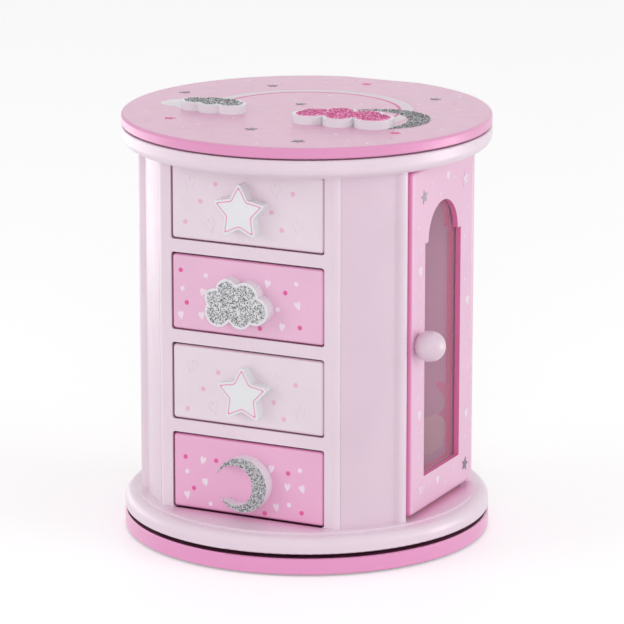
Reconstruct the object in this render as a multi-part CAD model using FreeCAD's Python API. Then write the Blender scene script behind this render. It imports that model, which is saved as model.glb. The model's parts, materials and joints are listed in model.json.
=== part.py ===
import FreeCAD, Part
import math
import os

V = FreeCAD.Vector
os.makedirs("parts", exist_ok=True)

# Heights of the stack, from the table up
PAD_T = 1.0
BASE_T = 9.0
SWIVEL_GAP = 2.2
PLINTH_T = 10.0
BODY_H = 191.4
CORNICE_T = 11.0
LID_GAP = 0.9
LID_T = 6.0

# Round plan
RIM_R = 100.0
RIM_OVER = 9.4
PAD_IN = 6.0
CORNICE_LAP = 10.6
LID_FLAT_IN = 4.0

# Moulded edges
STEP_OUT = 2.0
STEP_H = 1.2
OVOLO_R = 5.0
LID_ROUND = 1.6
RIM_ROUND = 0.8

# Boards of the cabinet
FLAT_IN = 18.6
BOARD_T = 6.0
BOARD_ROUND = 2.9
STILE_W = 8.4
STILE_TRIM = 1.3
STILE_ROUND = 3.6
WALL_T = 4.0
SHELF_T = 3.0
PANEL_T = 4.0
PANEL_SET_BACK = 2.8

# Drawers
RAIL_H = 7.0
OPEN_CORNER = 1.6
FRONT_CORNER = 2.0
FRONT_ROUND = 1.9
BOX_T = 3.0
BOX_FLOOR_T = 2.5
BOX_H = 33.0
BOX_BACK_GAP = 6.0
FRONT_SIDE_GAP = 0.5
FRONT_TOP_GAP = 1.0
FRONT_FOOT_GAP = 0.5
BOX_SIDE_GAP = 0.7
BOX_FOOT_GAP = 0.4
WALL_GAP = 0.2

# Drawer knobs
KNOB_T = 7.0
KNOB_DROP = 1.5
KNOB_SHIFT = (-1.4, -4.0, 0.0, -0.5)
SPIGOT_R = 2.5
SPIGOT_L = 4.0
SPIGOT_GAP = 0.02
STAR_R = 16.6
STAR_IN_R = 8.7
STAR_TIP_ROUND = 1.3
STAR_NOTCH_ROUND = 1.0
MOON_R = 15.0
MOON_BITE_R = 11.0
MOON_BITE_OFF = 4.3
MOON_TURN = 6.5
MOON_TIP_ROUND = 0.4
KNOB_DISCS = ((-12.3, 1.9, 5.4), (-4.8, 7.0, 6.2), (6.2, 5.0, 7.2), (11.8, -2.6, 7.7),
              (3.0, -6.3, 7.0), (-10.0, -5.7, 7.6), (0.0, 0.0, 10.5))

# Doors
DOOR_PROUD = 1.4
DOOR_T = 8.0
DOOR_SHY = 50.8
DOOR_SIDE_GAP = 0.5
DOOR_FOOT_GAP = 1.6
DOOR_HEAD_GAP = 1.4
DOOR_ROUND = 2.4
JAMB_T = 6.0
DOOR_STILE = 16.6
WINDOW_FOOT = 20.3
WINDOW_HEAD = 42.8
ARCH_IN = 4.0
PANE_T = 1.4
PANE_SET_IN = 3.0
PANE_LAP = 5.0
PANE_GAP = 0.08
PIN_R = 1.2
PIN_IN_DOOR = 8.0
PIN_IN_BOARD = 4.5
PIN_END_GAP = 0.5
PIN_FIT = 0.02
PIN_RUN = 0.06
BALL_R = 8.4
BALL_OUT = 6.9
BALL_DROP = 0.5
MAGNET = (4.6, 4.0, 10.0)
MAGNET_GAP = 0.4

# Lid hinges and fittings
KNUCKLE_R = 1.6
HINGE_PIN_R = 0.9
HINGE_RUN = 0.05
LEAF_T = 0.8
LEAF_W = 18.0
LEAF_X = 15.0
LEAF_CLEAR = 0.3
FIXED_LEAF_H = 7.0
MOVING_LEAF_H = 5.0
MIRROR_R = 58.0
MIRROR_T = 2.0
MIRROR_SINK = 1.2
MIRROR_FIT = 0.15
BUMPER_R = 3.0
BUMPER_T = 0.8
CLOUD_T = 4.5
SILVER_AT = (-45.0, -21.0)
SILVER_DISCS = ((-11.0, -1.0, 8.0), (-3.0, 3.0, 8.0), (6.0, 2.5, 8.5), (11.0, -1.5, 8.0), (0.0, -3.0, 8.0))
PINK_AT = (32.0, -21.0)
PINK_DISCS = ((-17.0, -6.5, 9.3), (0.5, -7.0, 8.8), (18.5, -2.0, 11.0), (11.0, 5.0, 9.3),
              (-5.0, 6.0, 9.0), (-16.5, -0.5, 8.5), (4.0, 0.0, 9.0))

# Turntable bearing
POCKET_R = 44.0
POCKET_D = 3.0
RACE_R = 40.0
RACE_T = 1.2
TRACK_R = 30.0
TRACK_HALF = 5.0
TRACK_SPLIT = 0.6
BALL_BEARING_R = 2.5
BALL_RUN = 0.1
BALL_COUNT = 12
RIVET_R = 3.9
RIVET_RUN = 0.06
RIVET_HEAD_R = 6.5
RIVET_HEAD_T = 1.4
RIVET_ROOM = 0.6

# Top deck and the dancer's stage
DECK_T = 3.0
DECK_GAP = 0.5
DECK_LIP = 3.0
WELL_L = 67.0
WELL_WALL_T = 3.0
WELL_BOX_GAP = 3.0
STAGE_UP = 23.8
STAGE_T = 2.5
STAGE_GAP = 0.3
CLEAT = 4.0
ROLL_W = 7.4
ROLL_H = 6.6
ROLL_L = 44.0
ROLL_PITCH = 7.9
ROLL_EDGE = 2.6
ROLL_COUNT = 3
HOOK_R = 0.9
HOOK_OUT = 7.5
HOOK_BEND_R = 3.0
HOOK_TIP = 2.0
HOOK_FLANGE_R = 2.4
HOOK_FLANGE_T = 0.8
HOOK_TIP_R = 1.2
HOOK_DOWN = 31.4
HOOK_COUNT = 4
HOOK_PITCH = 18.0

# Musical movement
MODULE = 0.5
BARREL_TEETH = 36
CYLINDER_TEETH = 18
WHEEL_TEETH = 24
PINION_TEETH = 8
CROWN_TEETH = 36
MESH_GAP = 0.05
AXIS_UP = 12.4
BED_T = 2.0
BED_X = (-13.0, 33.0)
PLATE_T = 2.0
PLATE_H = 17.0
PLATE_OVER = 4.0
REAR_GAP = 6.0
GEAR_GAP = 2.0
GEAR_W = 3.0
DRUM_GAP = 1.0
DRUM_L = 14.0
DRUM_R = 8.0
HUB_R = 5.0
WHEEL_GAP = 2.0
WHEEL_W = 1.4
FRONT_GAP = 0.6
ARBOR_R = 1.5
ARBOR_RUN = 0.05
ARBOR_OUT = 1.0
CYL_R = 4.0
TUNE_PIN_R = 0.25
TUNE_PIN_H = 0.5
COMB_T = 1.0
COMB_TEETH = 18
COMB_PITCH = 0.78
COMB_SLIT = 0.22
COMB_TOOTH_L = 8.0
COMB_L = 12.5
COMB_TIP_GAP = 0.4
COMB_REST_IN = 1.0
GOVERNOR_TURN = -55.0
GOVERNOR_SHAFT_R = 0.7
FAN_R = 3.1
FAN_T = 0.5
FAN_SHORT = 1.0
CROWN_DISC_R = 10.5
CROWN_DISC_T = 1.0
CROWN_TOOTH = (0.5, 1.4)
CROWN_REACH = 8.95
CROWN_CLEAR = 9.9
SPINDLE_R = 1.2
SPINDLE_TOP = 1.6
SPINDLE_RUN = 0.06
KEY_STEM_R = 2.0
KEY_HOLE_R = 2.8
KEY_STEM_L = 7.0
KEY_WING = (11.0, 6.5, 2.2)
KEY_WING_ROUND = 5.8
KEY_EYE_R = 2.6
KEY_EYE_X = 6.0

# The dancer
FOLD = 72.0
SPRING_R = 1.5
SPRING_WIRE_R = 0.28
SPRING_TURNS = 5
SPRING_RISE = 7.0
COLLAR_R = 2.0
COLLAR_L = 2.4
COLLAR_GAP = 0.1
COLLAR_FLOOR = 0.6
PEG_R = 0.9
PEG_RUN = 0.06
PEG_END_GAP = 0.3
PEG_L = 3.0
HIP_UP = 21.5
ANKLE_UP = 2.0
ANKLE_R = 0.8
THIGH_R = 1.7
STAND_X = 0.7
LIFT_X = -0.8
LIFT_THIGH_R = 1.6
KNEE_R = 1.2
KNEE_AT = (-4.6, -6.0)
TOE_R = 0.6
TOE_AT = (0.1, -8.6)
TUTU_R = 10.0
TUTU_T = 0.8
TUTU_RISE = 0.6
TUTU_CROWN = 2.0
TUTU_WAVES = 14
WAVE_OUT = 0.9
WAVE_R = 1.4
BODICE = ((2.3, 0.0), (1.7, 3.0), (2.3, 6.2), (2.2, 8.0), (1.0, 9.0), (0.9, 11.5))
HEAD_UP = 13.4
HEAD_R = 2.7
BUN_R = 1.4
BUN_BACK = 1.0
SHOULDER = (1.9, 7.6)
ELBOW = (5.6, -0.6, 0.4)
HAND = (0.9, -1.0, 7.4)
HAND_R = 0.78
ARM_R = 0.65

# Levels
Z_BASE = PAD_T
Z_BASE_TOP = Z_BASE + BASE_T
Z_PLINTH = Z_BASE_TOP + SWIVEL_GAP
Z_FLOOR = Z_PLINTH + PLINTH_T
Z_CEIL = Z_FLOOR + BODY_H
Z_CORNICE_TOP = Z_CEIL + CORNICE_T
Z_LID = Z_CORNICE_TOP + LID_GAP
Z_TOP = Z_LID + LID_T
Z_MID = (Z_BASE_TOP + Z_PLINTH) / 2

# Plan positions that follow from the sizes above
BODY_R = RIM_R - RIM_OVER
PAD_R = RIM_R - PAD_IN
CORNICE_IN_R = BODY_R - CORNICE_LAP
LID_FLAT_Y = RIM_R - LID_FLAT_IN
FLAT_Y = BODY_R - FLAT_IN
STILE_HALF = math.sqrt(BODY_R ** 2 - FLAT_Y ** 2) - STILE_TRIM
OPEN_W = 2 * (STILE_HALF - STILE_W)
OPEN_H = (BODY_H - 3 * RAIL_H) / 4
INSIDE_Y = FLAT_Y - BOARD_T
BOX_BACK_Y = INSIDE_Y - BOX_BACK_GAP
WELL_Y = INSIDE_Y - WELL_L
WALL_X = OPEN_W / 2 + WALL_GAP
SIDE_X = WALL_X + WALL_T
DOOR_HALF = BODY_R - DOOR_SHY
WINDOW_HALF = DOOR_HALF - DOOR_STILE
ARCH_R = WINDOW_HALF - ARCH_IN
JAMB_IN = DOOR_HALF + DOOR_SIDE_GAP
JAMB_OUT = JAMB_IN + JAMB_T
JAMB_X = math.sqrt(BODY_R ** 2 - (JAMB_IN + JAMB_T / 2) ** 2)
DOOR_FACE_X = JAMB_X + DOOR_PROUD
DOOR_BACK_X = DOOR_FACE_X - DOOR_T
DOOR_Z = (Z_FLOOR + DOOR_FOOT_GAP, Z_CEIL - DOOR_HEAD_GAP)
PIVOT = (DOOR_FACE_X - DOOR_T / 2, DOOR_HALF - DOOR_T / 2)
BALL_Y = -(WINDOW_HALF + DOOR_HALF) / 2
BALL_Z = (DOOR_Z[0] + DOOR_Z[1]) / 2 - BALL_DROP
HINGE_Y = LID_FLAT_Y + KNUCKLE_R + HINGE_RUN
HINGE_Z = Z_CORNICE_TOP + LID_GAP / 2
SHELF_TOP = Z_FLOOR + 3 * (OPEN_H + RAIL_H)
AXIS_Z = SHELF_TOP + AXIS_UP
STAGE_Z = SHELF_TOP + STAGE_UP
DECK_TOP = Z_CEIL + DECK_T
REAR_PLATE_Y = INSIDE_Y - REAR_GAP - PLATE_T
GEAR_Y = (REAR_PLATE_Y - GEAR_GAP - GEAR_W, REAR_PLATE_Y - GEAR_GAP)
DRUM_Y = (GEAR_Y[0] - DRUM_GAP - DRUM_L, GEAR_Y[0] - DRUM_GAP)
WHEEL_Y = (DRUM_Y[0] - WHEEL_GAP - WHEEL_W, DRUM_Y[0] - WHEEL_GAP)
FRONT_PLATE_Y = WHEEL_Y[0] - FRONT_GAP - PLATE_T
BARREL_PITCH_R = BARREL_TEETH * MODULE / 2
CYL_X = BARREL_PITCH_R + CYLINDER_TEETH * MODULE / 2 + MESH_GAP
CROWN_PITCH_R = CROWN_TEETH * MODULE / 2
SPINDLE_Y = (GEAR_Y[0] + GEAR_Y[1]) / 2 - CROWN_PITCH_R
SPINDLE_TOP_Z = STAGE_Z + STAGE_T + SPINDLE_TOP


def save(name, *solids):
    shape = solids[0] if len(solids) == 1 else Part.makeCompound(list(solids))
    shape.exportStep("parts/" + name + ".step")
    count = len(shape.Solids)
    print(name, count, "solid(s), volume", round(shape.Volume, 1), "valid", shape.isValid())


def box(x0, x1, y0, y1, z0, z1):
    return Part.makeBox(x1 - x0, y1 - y0, z1 - z0, V(x0, y0, z0))


def rod(radius, start, end):
    way = end - start
    return Part.makeCylinder(radius, way.Length, start, way)


def cone(r0, r1, start, end):
    way = end - start
    return Part.makeCone(r0, r1, way.Length, start, way)


def ring(r_out, r_in, z0, z1):
    outer = Part.makeCylinder(r_out, z1 - z0, V(0, 0, z0))
    return outer.cut(Part.makeCylinder(r_in, z1 - z0, V(0, 0, z0)))


def line(a, b):
    return Part.LineSegment(a, b).toShape()


def arc(a, m, b):
    return Part.Arc(a, m, b).toShape()


def turned(edges):
    return Part.Face(Part.Wire(edges)).revolve(V(0, 0, 0), V(0, 0, 1), 360)


def mirrored(shape):
    return shape.mirror(V(0, 0, 0), V(1, 0, 0))


def half_turned(shape):
    copy = shape.copy()
    copy.rotate(V(0, 0, 0), V(0, 0, 1), 180)
    return copy


def round_edges(solid, radius, wanted):
    edges = [edge for edge in solid.Edges if wanted(edge)]
    return solid.makeFillet(radius, edges)


def upright_at(x, y):
    def test(edge):
        ends = [vertex.Point for vertex in edge.Vertexes]
        return all(abs(p.x - x) < 0.01 and abs(p.y - y) < 0.01 for p in ends)
    return test


def runs_along_y(edge):
    ends = [vertex.Point for vertex in edge.Vertexes]
    return all(abs(p.x - ends[0].x) < 0.01 and abs(p.z - ends[0].z) < 0.01 for p in ends)


def level_at(z):
    def test(edge):
        points = [vertex.Point for vertex in edge.Vertexes] + [edge.CenterOfMass]
        return all(abs(p.z - z) < 0.01 for p in points)
    return test


# Base, felt and turntable bearing
def rim_disc(z0, z1):
    disc = Part.makeCylinder(RIM_R, z1 - z0, V(0, 0, z0))
    disc = round_edges(disc, RIM_ROUND, level_at(z0))
    return round_edges(disc, RIM_ROUND, level_at(z1))


def make_base():
    disc = rim_disc(Z_BASE, Z_BASE_TOP)
    pocket = Part.makeCylinder(POCKET_R, POCKET_D, V(0, 0, Z_BASE_TOP - POCKET_D))
    room_d = RIVET_HEAD_T + RIVET_ROOM
    room = Part.makeCylinder(RIVET_HEAD_R + RIVET_ROOM, room_d, V(0, 0, Z_BASE_TOP - POCKET_D - room_d))
    save("base_disc", disc.cut(pocket).cut(room))
    save("felt_pad", Part.makeCylinder(PAD_R, PAD_T, V(0, 0, 0)))


def make_race(bore, z_flat):
    up = 1 if z_flat < Z_MID else -1
    plate_z = sorted((z_flat, z_flat + up * RACE_T))
    track_z = sorted((z_flat, Z_MID - up * TRACK_SPLIT))
    plate = ring(RACE_R, bore, *plate_z)
    track = ring(TRACK_R + TRACK_HALF, TRACK_R - TRACK_HALF, *track_z)
    groove = Part.makeTorus(TRACK_R, BALL_BEARING_R + BALL_RUN, V(0, 0, Z_MID))
    return plate.fuse(track).cut(groove).removeSplitter()


def make_turntable():
    save("lower_race", make_race(RIVET_R + PIN_FIT, Z_BASE_TOP - POCKET_D))
    save("upper_race", make_race(RIVET_R + RIVET_RUN, Z_PLINTH + POCKET_D))
    balls = []
    for i in range(BALL_COUNT):
        turn = 2 * math.pi * i / BALL_COUNT
        at = V(TRACK_R * math.cos(turn), TRACK_R * math.sin(turn), Z_MID)
        balls.append(Part.makeSphere(BALL_BEARING_R, at))
    save("race_balls", *balls)
    low = Z_BASE_TOP - POCKET_D
    high = Z_PLINTH + POCKET_D + BALL_RUN
    rivet = rod(RIVET_R, V(0, 0, low), V(0, 0, high))
    rivet = rivet.fuse(rod(RIVET_HEAD_R, V(0, 0, low - RIVET_HEAD_T), V(0, 0, low)))
    rivet = rivet.fuse(rod(RIVET_HEAD_R, V(0, 0, high), V(0, 0, high + RIVET_HEAD_T)))
    save("swivel_rivet", rivet.removeSplitter())


# Plinth and cornice share one moulded edge, one the right way up and one upside down
def moulded(z_rim, z_body, r_in):
    up = 1 if z_body > z_rim else -1
    step_r = BODY_R + STEP_OUT
    z_step = z_body - up * STEP_H
    z_arc = z_step - up * OVOLO_R
    lean = OVOLO_R * math.sqrt(0.5)
    p = [V(r_in, 0, z_rim), V(RIM_R - RIM_ROUND, 0, z_rim), V(RIM_R, 0, z_rim + up * RIM_ROUND),
         V(RIM_R, 0, z_arc), V(RIM_R - OVOLO_R, 0, z_step), V(step_r, 0, z_step),
         V(step_r, 0, z_body), V(r_in, 0, z_body)]
    bend = RIM_ROUND * (1 - math.sqrt(0.5))
    edges = [line(p[0], p[1]),
             arc(p[1], V(RIM_R - bend, 0, z_rim + up * bend), p[2]),
             line(p[2], p[3]),
             arc(p[3], V(RIM_R - OVOLO_R + lean, 0, z_arc + up * lean), p[4]),
             line(p[4], p[5]), line(p[5], p[6]), line(p[6], p[7]), line(p[7], p[0])]
    return turned(edges)


def pin_hole(side, z0, z1):
    x = side * PIVOT[0]
    y = side * PIVOT[1]
    return rod(PIN_R + PIN_RUN, V(x, y, z0), V(x, y, z1))


def make_plinth():
    plinth = moulded(Z_PLINTH, Z_FLOOR, 0)
    plinth = plinth.cut(Part.makeCylinder(POCKET_R, POCKET_D, V(0, 0, Z_PLINTH)))
    room_d = RIVET_HEAD_T + RIVET_ROOM
    plinth = plinth.cut(Part.makeCylinder(RIVET_HEAD_R + RIVET_ROOM, room_d, V(0, 0, Z_PLINTH + POCKET_D)))
    for side in (-1, 1):
        plinth = plinth.cut(pin_hole(side, Z_FLOOR - PIN_IN_BOARD - PIN_END_GAP, Z_FLOOR))
    save("plinth", plinth)


def make_cornice():
    cornice = moulded(Z_CORNICE_TOP, Z_CEIL, CORNICE_IN_R)
    cornice = cornice.cut(box(-RIM_R, RIM_R, LID_FLAT_Y, RIM_R + 1, Z_CEIL - 1, Z_CORNICE_TOP + 1))
    for side in (-1, 1):
        cornice = cornice.cut(pin_hole(side, Z_CEIL, Z_CEIL + PIN_IN_BOARD + PIN_END_GAP))
    save("cornice", cornice)


# Cabinet boards
def opening_z(row):
    return Z_FLOOR + (3 - row) * (OPEN_H + RAIL_H)


def make_boards():
    frame = box(-STILE_HALF, STILE_HALF, -FLAT_Y, -INSIDE_Y, Z_FLOOR, Z_CEIL)
    for x in (-STILE_HALF, STILE_HALF):
        frame = round_edges(frame, STILE_ROUND, upright_at(x, -FLAT_Y))
    for row in range(4):
        z0 = opening_z(row)
        opening = box(-OPEN_W / 2, OPEN_W / 2, -FLAT_Y - 1, -INSIDE_Y + 1, z0, z0 + OPEN_H)
        frame = frame.cut(round_edges(opening, OPEN_CORNER, runs_along_y))
    save("front_frame", frame)
    back = box(-STILE_HALF, STILE_HALF, INSIDE_Y, FLAT_Y, Z_FLOOR, Z_CEIL)
    for x in (-STILE_HALF, STILE_HALF):
        back = round_edges(back, STILE_ROUND, upright_at(x, FLAT_Y))
    back = back.cut(rod(KEY_HOLE_R, V(0, INSIDE_Y - 1, AXIS_Z), V(0, FLAT_Y + 1, AXIS_Z)))
    save("back_panel", back)
    right = box(WALL_X, SIDE_X, -INSIDE_Y, INSIDE_Y, Z_FLOOR, Z_CEIL)
    save("side_walls", right, mirrored(right))
    shelves = []
    for row in range(3):
        z0 = opening_z(row)
        shelves.append(box(-WALL_X, WALL_X, -INSIDE_Y, INSIDE_Y, z0 - SHELF_T, z0))
    save("drawer_shelves", *shelves)


def make_corners():
    panel_r = BODY_R - PANEL_SET_BACK
    shell = ring(panel_r, panel_r - PANEL_T, Z_FLOOR, Z_CEIL)
    front = shell.common(box(STILE_HALF, RIM_R, -RIM_R, -JAMB_OUT, Z_FLOOR, Z_CEIL))
    back = shell.common(box(STILE_HALF, RIM_R, JAMB_OUT, RIM_R, Z_FLOOR, Z_CEIL))
    save("corner_panels", front, mirrored(front), back, mirrored(back))
    jambs = []
    for y0, y1 in ((-JAMB_OUT, -JAMB_IN), (JAMB_IN, JAMB_OUT)):
        jamb = box(SIDE_X, JAMB_X, y0, y1, Z_FLOOR, Z_CEIL)
        jamb = round_edges(jamb, BOARD_ROUND, upright_at(JAMB_X, y0))
        jamb = round_edges(jamb, BOARD_ROUND, upright_at(JAMB_X, y1))
        jambs += [jamb, mirrored(jamb)]
    save("door_jambs", *jambs)


# Knob shapes are drawn looking at the front, with x to the right and z up
def cloud(discs, depth):
    lobes = [Part.makeCylinder(r, depth, V(x, y, 0)) for x, y, r in discs]
    return lobes[0].multiFuse(lobes[1:]).removeSplitter()


def star(depth):
    points = []
    for i in range(11):
        r = STAR_R if i % 2 == 0 else STAR_IN_R
        turn = math.radians(90 + 36 * i)
        points.append(V(r * math.cos(turn), r * math.sin(turn), 0))
    shape = Part.Face(Part.makePolygon(points)).extrude(V(0, 0, depth))
    for i in range(10):
        size = STAR_TIP_ROUND if i % 2 == 0 else STAR_NOTCH_ROUND
        shape = round_edges(shape, size, upright_at(points[i].x, points[i].y))
    return shape


def moon(depth):
    turn = math.radians(180 + MOON_TURN)
    bite = V(MOON_BITE_OFF * math.cos(turn), MOON_BITE_OFF * math.sin(turn), 0)
    shape = Part.makeCylinder(MOON_R, depth).cut(Part.makeCylinder(MOON_BITE_R, depth, bite))
    tips = [e for e in shape.Edges if abs(e.Length - depth) < 0.01 and abs(e.Vertexes[0].Point.y) > 1]
    return shape.makeFillet(MOON_TIP_ROUND, tips)


def stand_up(shape, x, z):
    shape.rotate(V(0, 0, 0), V(1, 0, 0), 90)
    shape.translate(V(x, -FLAT_Y, z))
    return shape


def spigot_x(row):
    return MOON_R - (MOON_R + MOON_BITE_OFF - MOON_BITE_R) / 2 if row == 3 else 0.0


def make_drawers():
    knobs = (star(KNOB_T), cloud(KNOB_DISCS, KNOB_T), star(KNOB_T), moon(KNOB_T))
    half = OPEN_W / 2
    for row in range(4):
        name = "drawer_%d_" % (row + 1)
        z0 = opening_z(row)
        foot = z0 + FRONT_FOOT_GAP
        head = z0 + OPEN_H - FRONT_TOP_GAP
        front = box(-half + FRONT_SIDE_GAP, half - FRONT_SIDE_GAP, -FLAT_Y, -INSIDE_Y, foot, head)
        front = round_edges(front, FRONT_CORNER, runs_along_y)
        front = round_edges(front, FRONT_ROUND, lambda e: abs(e.CenterOfMass.y + FLAT_Y) < 0.01)
        x_knob = KNOB_SHIFT[row]
        z_knob = (foot + head) / 2 - KNOB_DROP
        at = V(x_knob + spigot_x(row), -FLAT_Y, z_knob)
        deep = V(0, SPIGOT_L, 0)
        front = front.cut(rod(SPIGOT_R + SPIGOT_GAP, at, at + deep * 1.1))
        save(name + "front", front)
        knob = stand_up(knobs[row], x_knob, z_knob)
        save(name + "knob", knob.fuse(rod(SPIGOT_R, at, at + deep)).removeSplitter())
        rear = WELL_Y - WELL_WALL_T - WELL_BOX_GAP if row == 0 else BOX_BACK_Y
        side = half - BOX_SIDE_GAP
        z_box = z0 + BOX_FOOT_GAP
        tray = box(-side, side, -INSIDE_Y, rear, z_box, z_box + BOX_H)
        hollow = box(-side + BOX_T, side - BOX_T, -INSIDE_Y, rear - BOX_T, z_box + BOX_FLOOR_T, z_box + BOX_H)
        save(name + "box", tray.cut(hollow))


# Doors: made on the right, and turned half round for the left, so that one pattern serves both sides
def window_face(x, grow):
    half = WINDOW_HALF + grow
    z0 = Z_FLOOR + WINDOW_FOOT - grow
    z1 = Z_CEIL - WINDOW_HEAD
    p = [V(x, -half, z0), V(x, half, z0), V(x, half, z1)]
    p += [V(x, ARCH_R, z1), V(x, -ARCH_R, z1), V(x, -half, z1)]
    edges = [line(p[0], p[1]), line(p[1], p[2]), line(p[2], p[3]), arc(p[3], V(x, 0, z1 + ARCH_R), p[4]),
             line(p[4], p[5]), line(p[5], p[0])]
    return Part.Face(Part.Wire(edges))


def make_door():
    z0, z1 = DOOR_Z
    px, py = PIVOT
    r = DOOR_T / 2
    p = [V(DOOR_BACK_X, -DOOR_HALF, z0), V(DOOR_FACE_X, -DOOR_HALF, z0)]
    p += [V(DOOR_FACE_X, py, z0), V(DOOR_BACK_X, py, z0)]
    hinge_edge = arc(p[2], V(px, py + r, z0), p[3])
    outline = Part.Wire([line(p[0], p[1]), line(p[1], p[2]), hinge_edge, line(p[3], p[0])])
    door = Part.Face(outline).extrude(V(0, 0, z1 - z0))
    for x in (DOOR_BACK_X, DOOR_FACE_X):
        door = round_edges(door, DOOR_ROUND, upright_at(x, -DOOR_HALF))
    for z in (z0, z1):
        door = round_edges(door, DOOR_ROUND, level_at(z))
    door = door.cut(window_face(DOOR_BACK_X - 1, 0).extrude(V(DOOR_T + 2, 0, 0)))
    slot_x = DOOR_FACE_X - PANE_SET_IN
    slot_half = WINDOW_HALF + PANE_LAP
    slot_z = Z_FLOOR + WINDOW_FOOT - PANE_LAP
    door = door.cut(box(slot_x - PANE_T - 2 * PANE_GAP, slot_x, -slot_half, slot_half, slot_z, z1 + 1))
    top = (V(px, py, z1 - PIN_IN_DOOR), V(px, py, Z_CEIL + PIN_IN_BOARD))
    low = (V(px, py, Z_FLOOR - PIN_IN_BOARD), V(px, py, z0 + PIN_IN_DOOR))
    for start, end in (top, low):
        door = door.cut(rod(PIN_R + PIN_FIT, start, end))
    knob_at = V(DOOR_FACE_X, BALL_Y, BALL_Z)
    spigot_end = knob_at - V(SPIGOT_L, 0, 0)
    door = door.cut(rod(SPIGOT_R + SPIGOT_GAP, knob_at - V(SPIGOT_L * 1.1, 0, 0), knob_at))
    pane = box(slot_x - PANE_GAP - PANE_T, slot_x - PANE_GAP, -slot_half + PANE_GAP, slot_half - PANE_GAP,
               slot_z, z1 - DOOR_ROUND)
    ball = Part.makeSphere(BALL_R, knob_at + V(BALL_OUT, 0, 0))
    ball = ball.common(box(DOOR_FACE_X, DOOR_FACE_X + 3 * BALL_R, BALL_Y - 2 * BALL_R, BALL_Y + 2 * BALL_R,
                           knob_at.z - 2 * BALL_R, knob_at.z + 2 * BALL_R))
    knob = ball.fuse(rod(SPIGOT_R, spigot_end, knob_at)).removeSplitter()
    pins = [rod(PIN_R, start, end) for start, end in (top, low)]
    for side in ("right_", "left_"):
        place = half_turned if side == "left_" else (lambda shape: shape)
        save(side + "door_frame", place(door))
        save(side + "window_pane", place(pane))
        save(side + "door_knob", place(knob))
        save(side + "door_pins", *[place(pin) for pin in pins])


def make_side_fittings():
    z = BALL_Z - MAGNET[2] / 2
    x1 = DOOR_BACK_X - MAGNET_GAP
    magnet = box(x1 - MAGNET[0], x1, -JAMB_IN, -JAMB_IN + MAGNET[1], z, z + MAGNET[2])
    save("door_magnets", magnet, half_turned(magnet))
    hooks = []
    z = Z_CEIL - HOOK_DOWN
    for i in range(HOOK_COUNT):
        y = (i - (HOOK_COUNT - 1) / 2) * HOOK_PITCH
        out = SIDE_X + HOOK_OUT
        p = [V(SIDE_X, y, z), V(out, y, z), V(out + HOOK_BEND_R, y, z + HOOK_BEND_R)]
        p.append(p[2] + V(0, 0, HOOK_TIP))
        lean = HOOK_BEND_R * math.sqrt(0.5)
        bend = V(out + lean, y, z + HOOK_BEND_R - lean)
        path = Part.Wire([line(p[0], p[1]), arc(p[1], bend, p[2]), line(p[2], p[3])])
        profile = Part.Wire([Part.Circle(p[0], V(1, 0, 0), HOOK_R).toShape()])
        wire = path.makePipeShell([profile], True, False)
        tip = Part.makeSphere(HOOK_TIP_R, p[3])
        flange = rod(HOOK_FLANGE_R, p[0], p[0] + V(HOOK_FLANGE_T, 0, 0))
        hook = wire.fuse(tip).fuse(flange).removeSplitter()
        hooks += [hook, mirrored(hook)]
    save("necklace_hooks", *hooks)


# Lid, its mirror, clouds, bumpers and hinges
def make_lid():
    lid = Part.makeCylinder(RIM_R, LID_T, V(0, 0, Z_LID))
    lid = round_edges(lid, LID_ROUND, level_at(Z_TOP))
    lid = round_edges(lid, RIM_ROUND, level_at(Z_LID))
    lid = lid.cut(box(-RIM_R, RIM_R, LID_FLAT_Y, RIM_R + 1, Z_LID - 1, Z_TOP + 1))
    lid = lid.cut(Part.makeCylinder(MIRROR_R + MIRROR_FIT, MIRROR_SINK, V(0, 0, Z_LID)))
    save("lid_board", lid)
    save("lid_mirror", Part.makeCylinder(MIRROR_R, MIRROR_T, V(0, 0, Z_LID + MIRROR_SINK - MIRROR_T)))
    clouds = (("lid_silver_cloud", SILVER_AT, SILVER_DISCS), ("lid_pink_cloud", PINK_AT, PINK_DISCS))
    for name, at, discs in clouds:
        block = cloud(discs, CLOUD_T)
        block.translate(V(at[0], at[1], Z_TOP))
        save(name, block)
    bumpers = []
    mid_r = (RIM_R + CORNICE_IN_R) / 2
    for turn in (-140, -90, -40):
        x = mid_r * math.cos(math.radians(turn))
        y = mid_r * math.sin(math.radians(turn))
        bumpers.append(Part.makeCylinder(BUMPER_R, BUMPER_T, V(x, y, Z_LID - BUMPER_T)))
    save("lid_bumpers", *bumpers)


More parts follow.
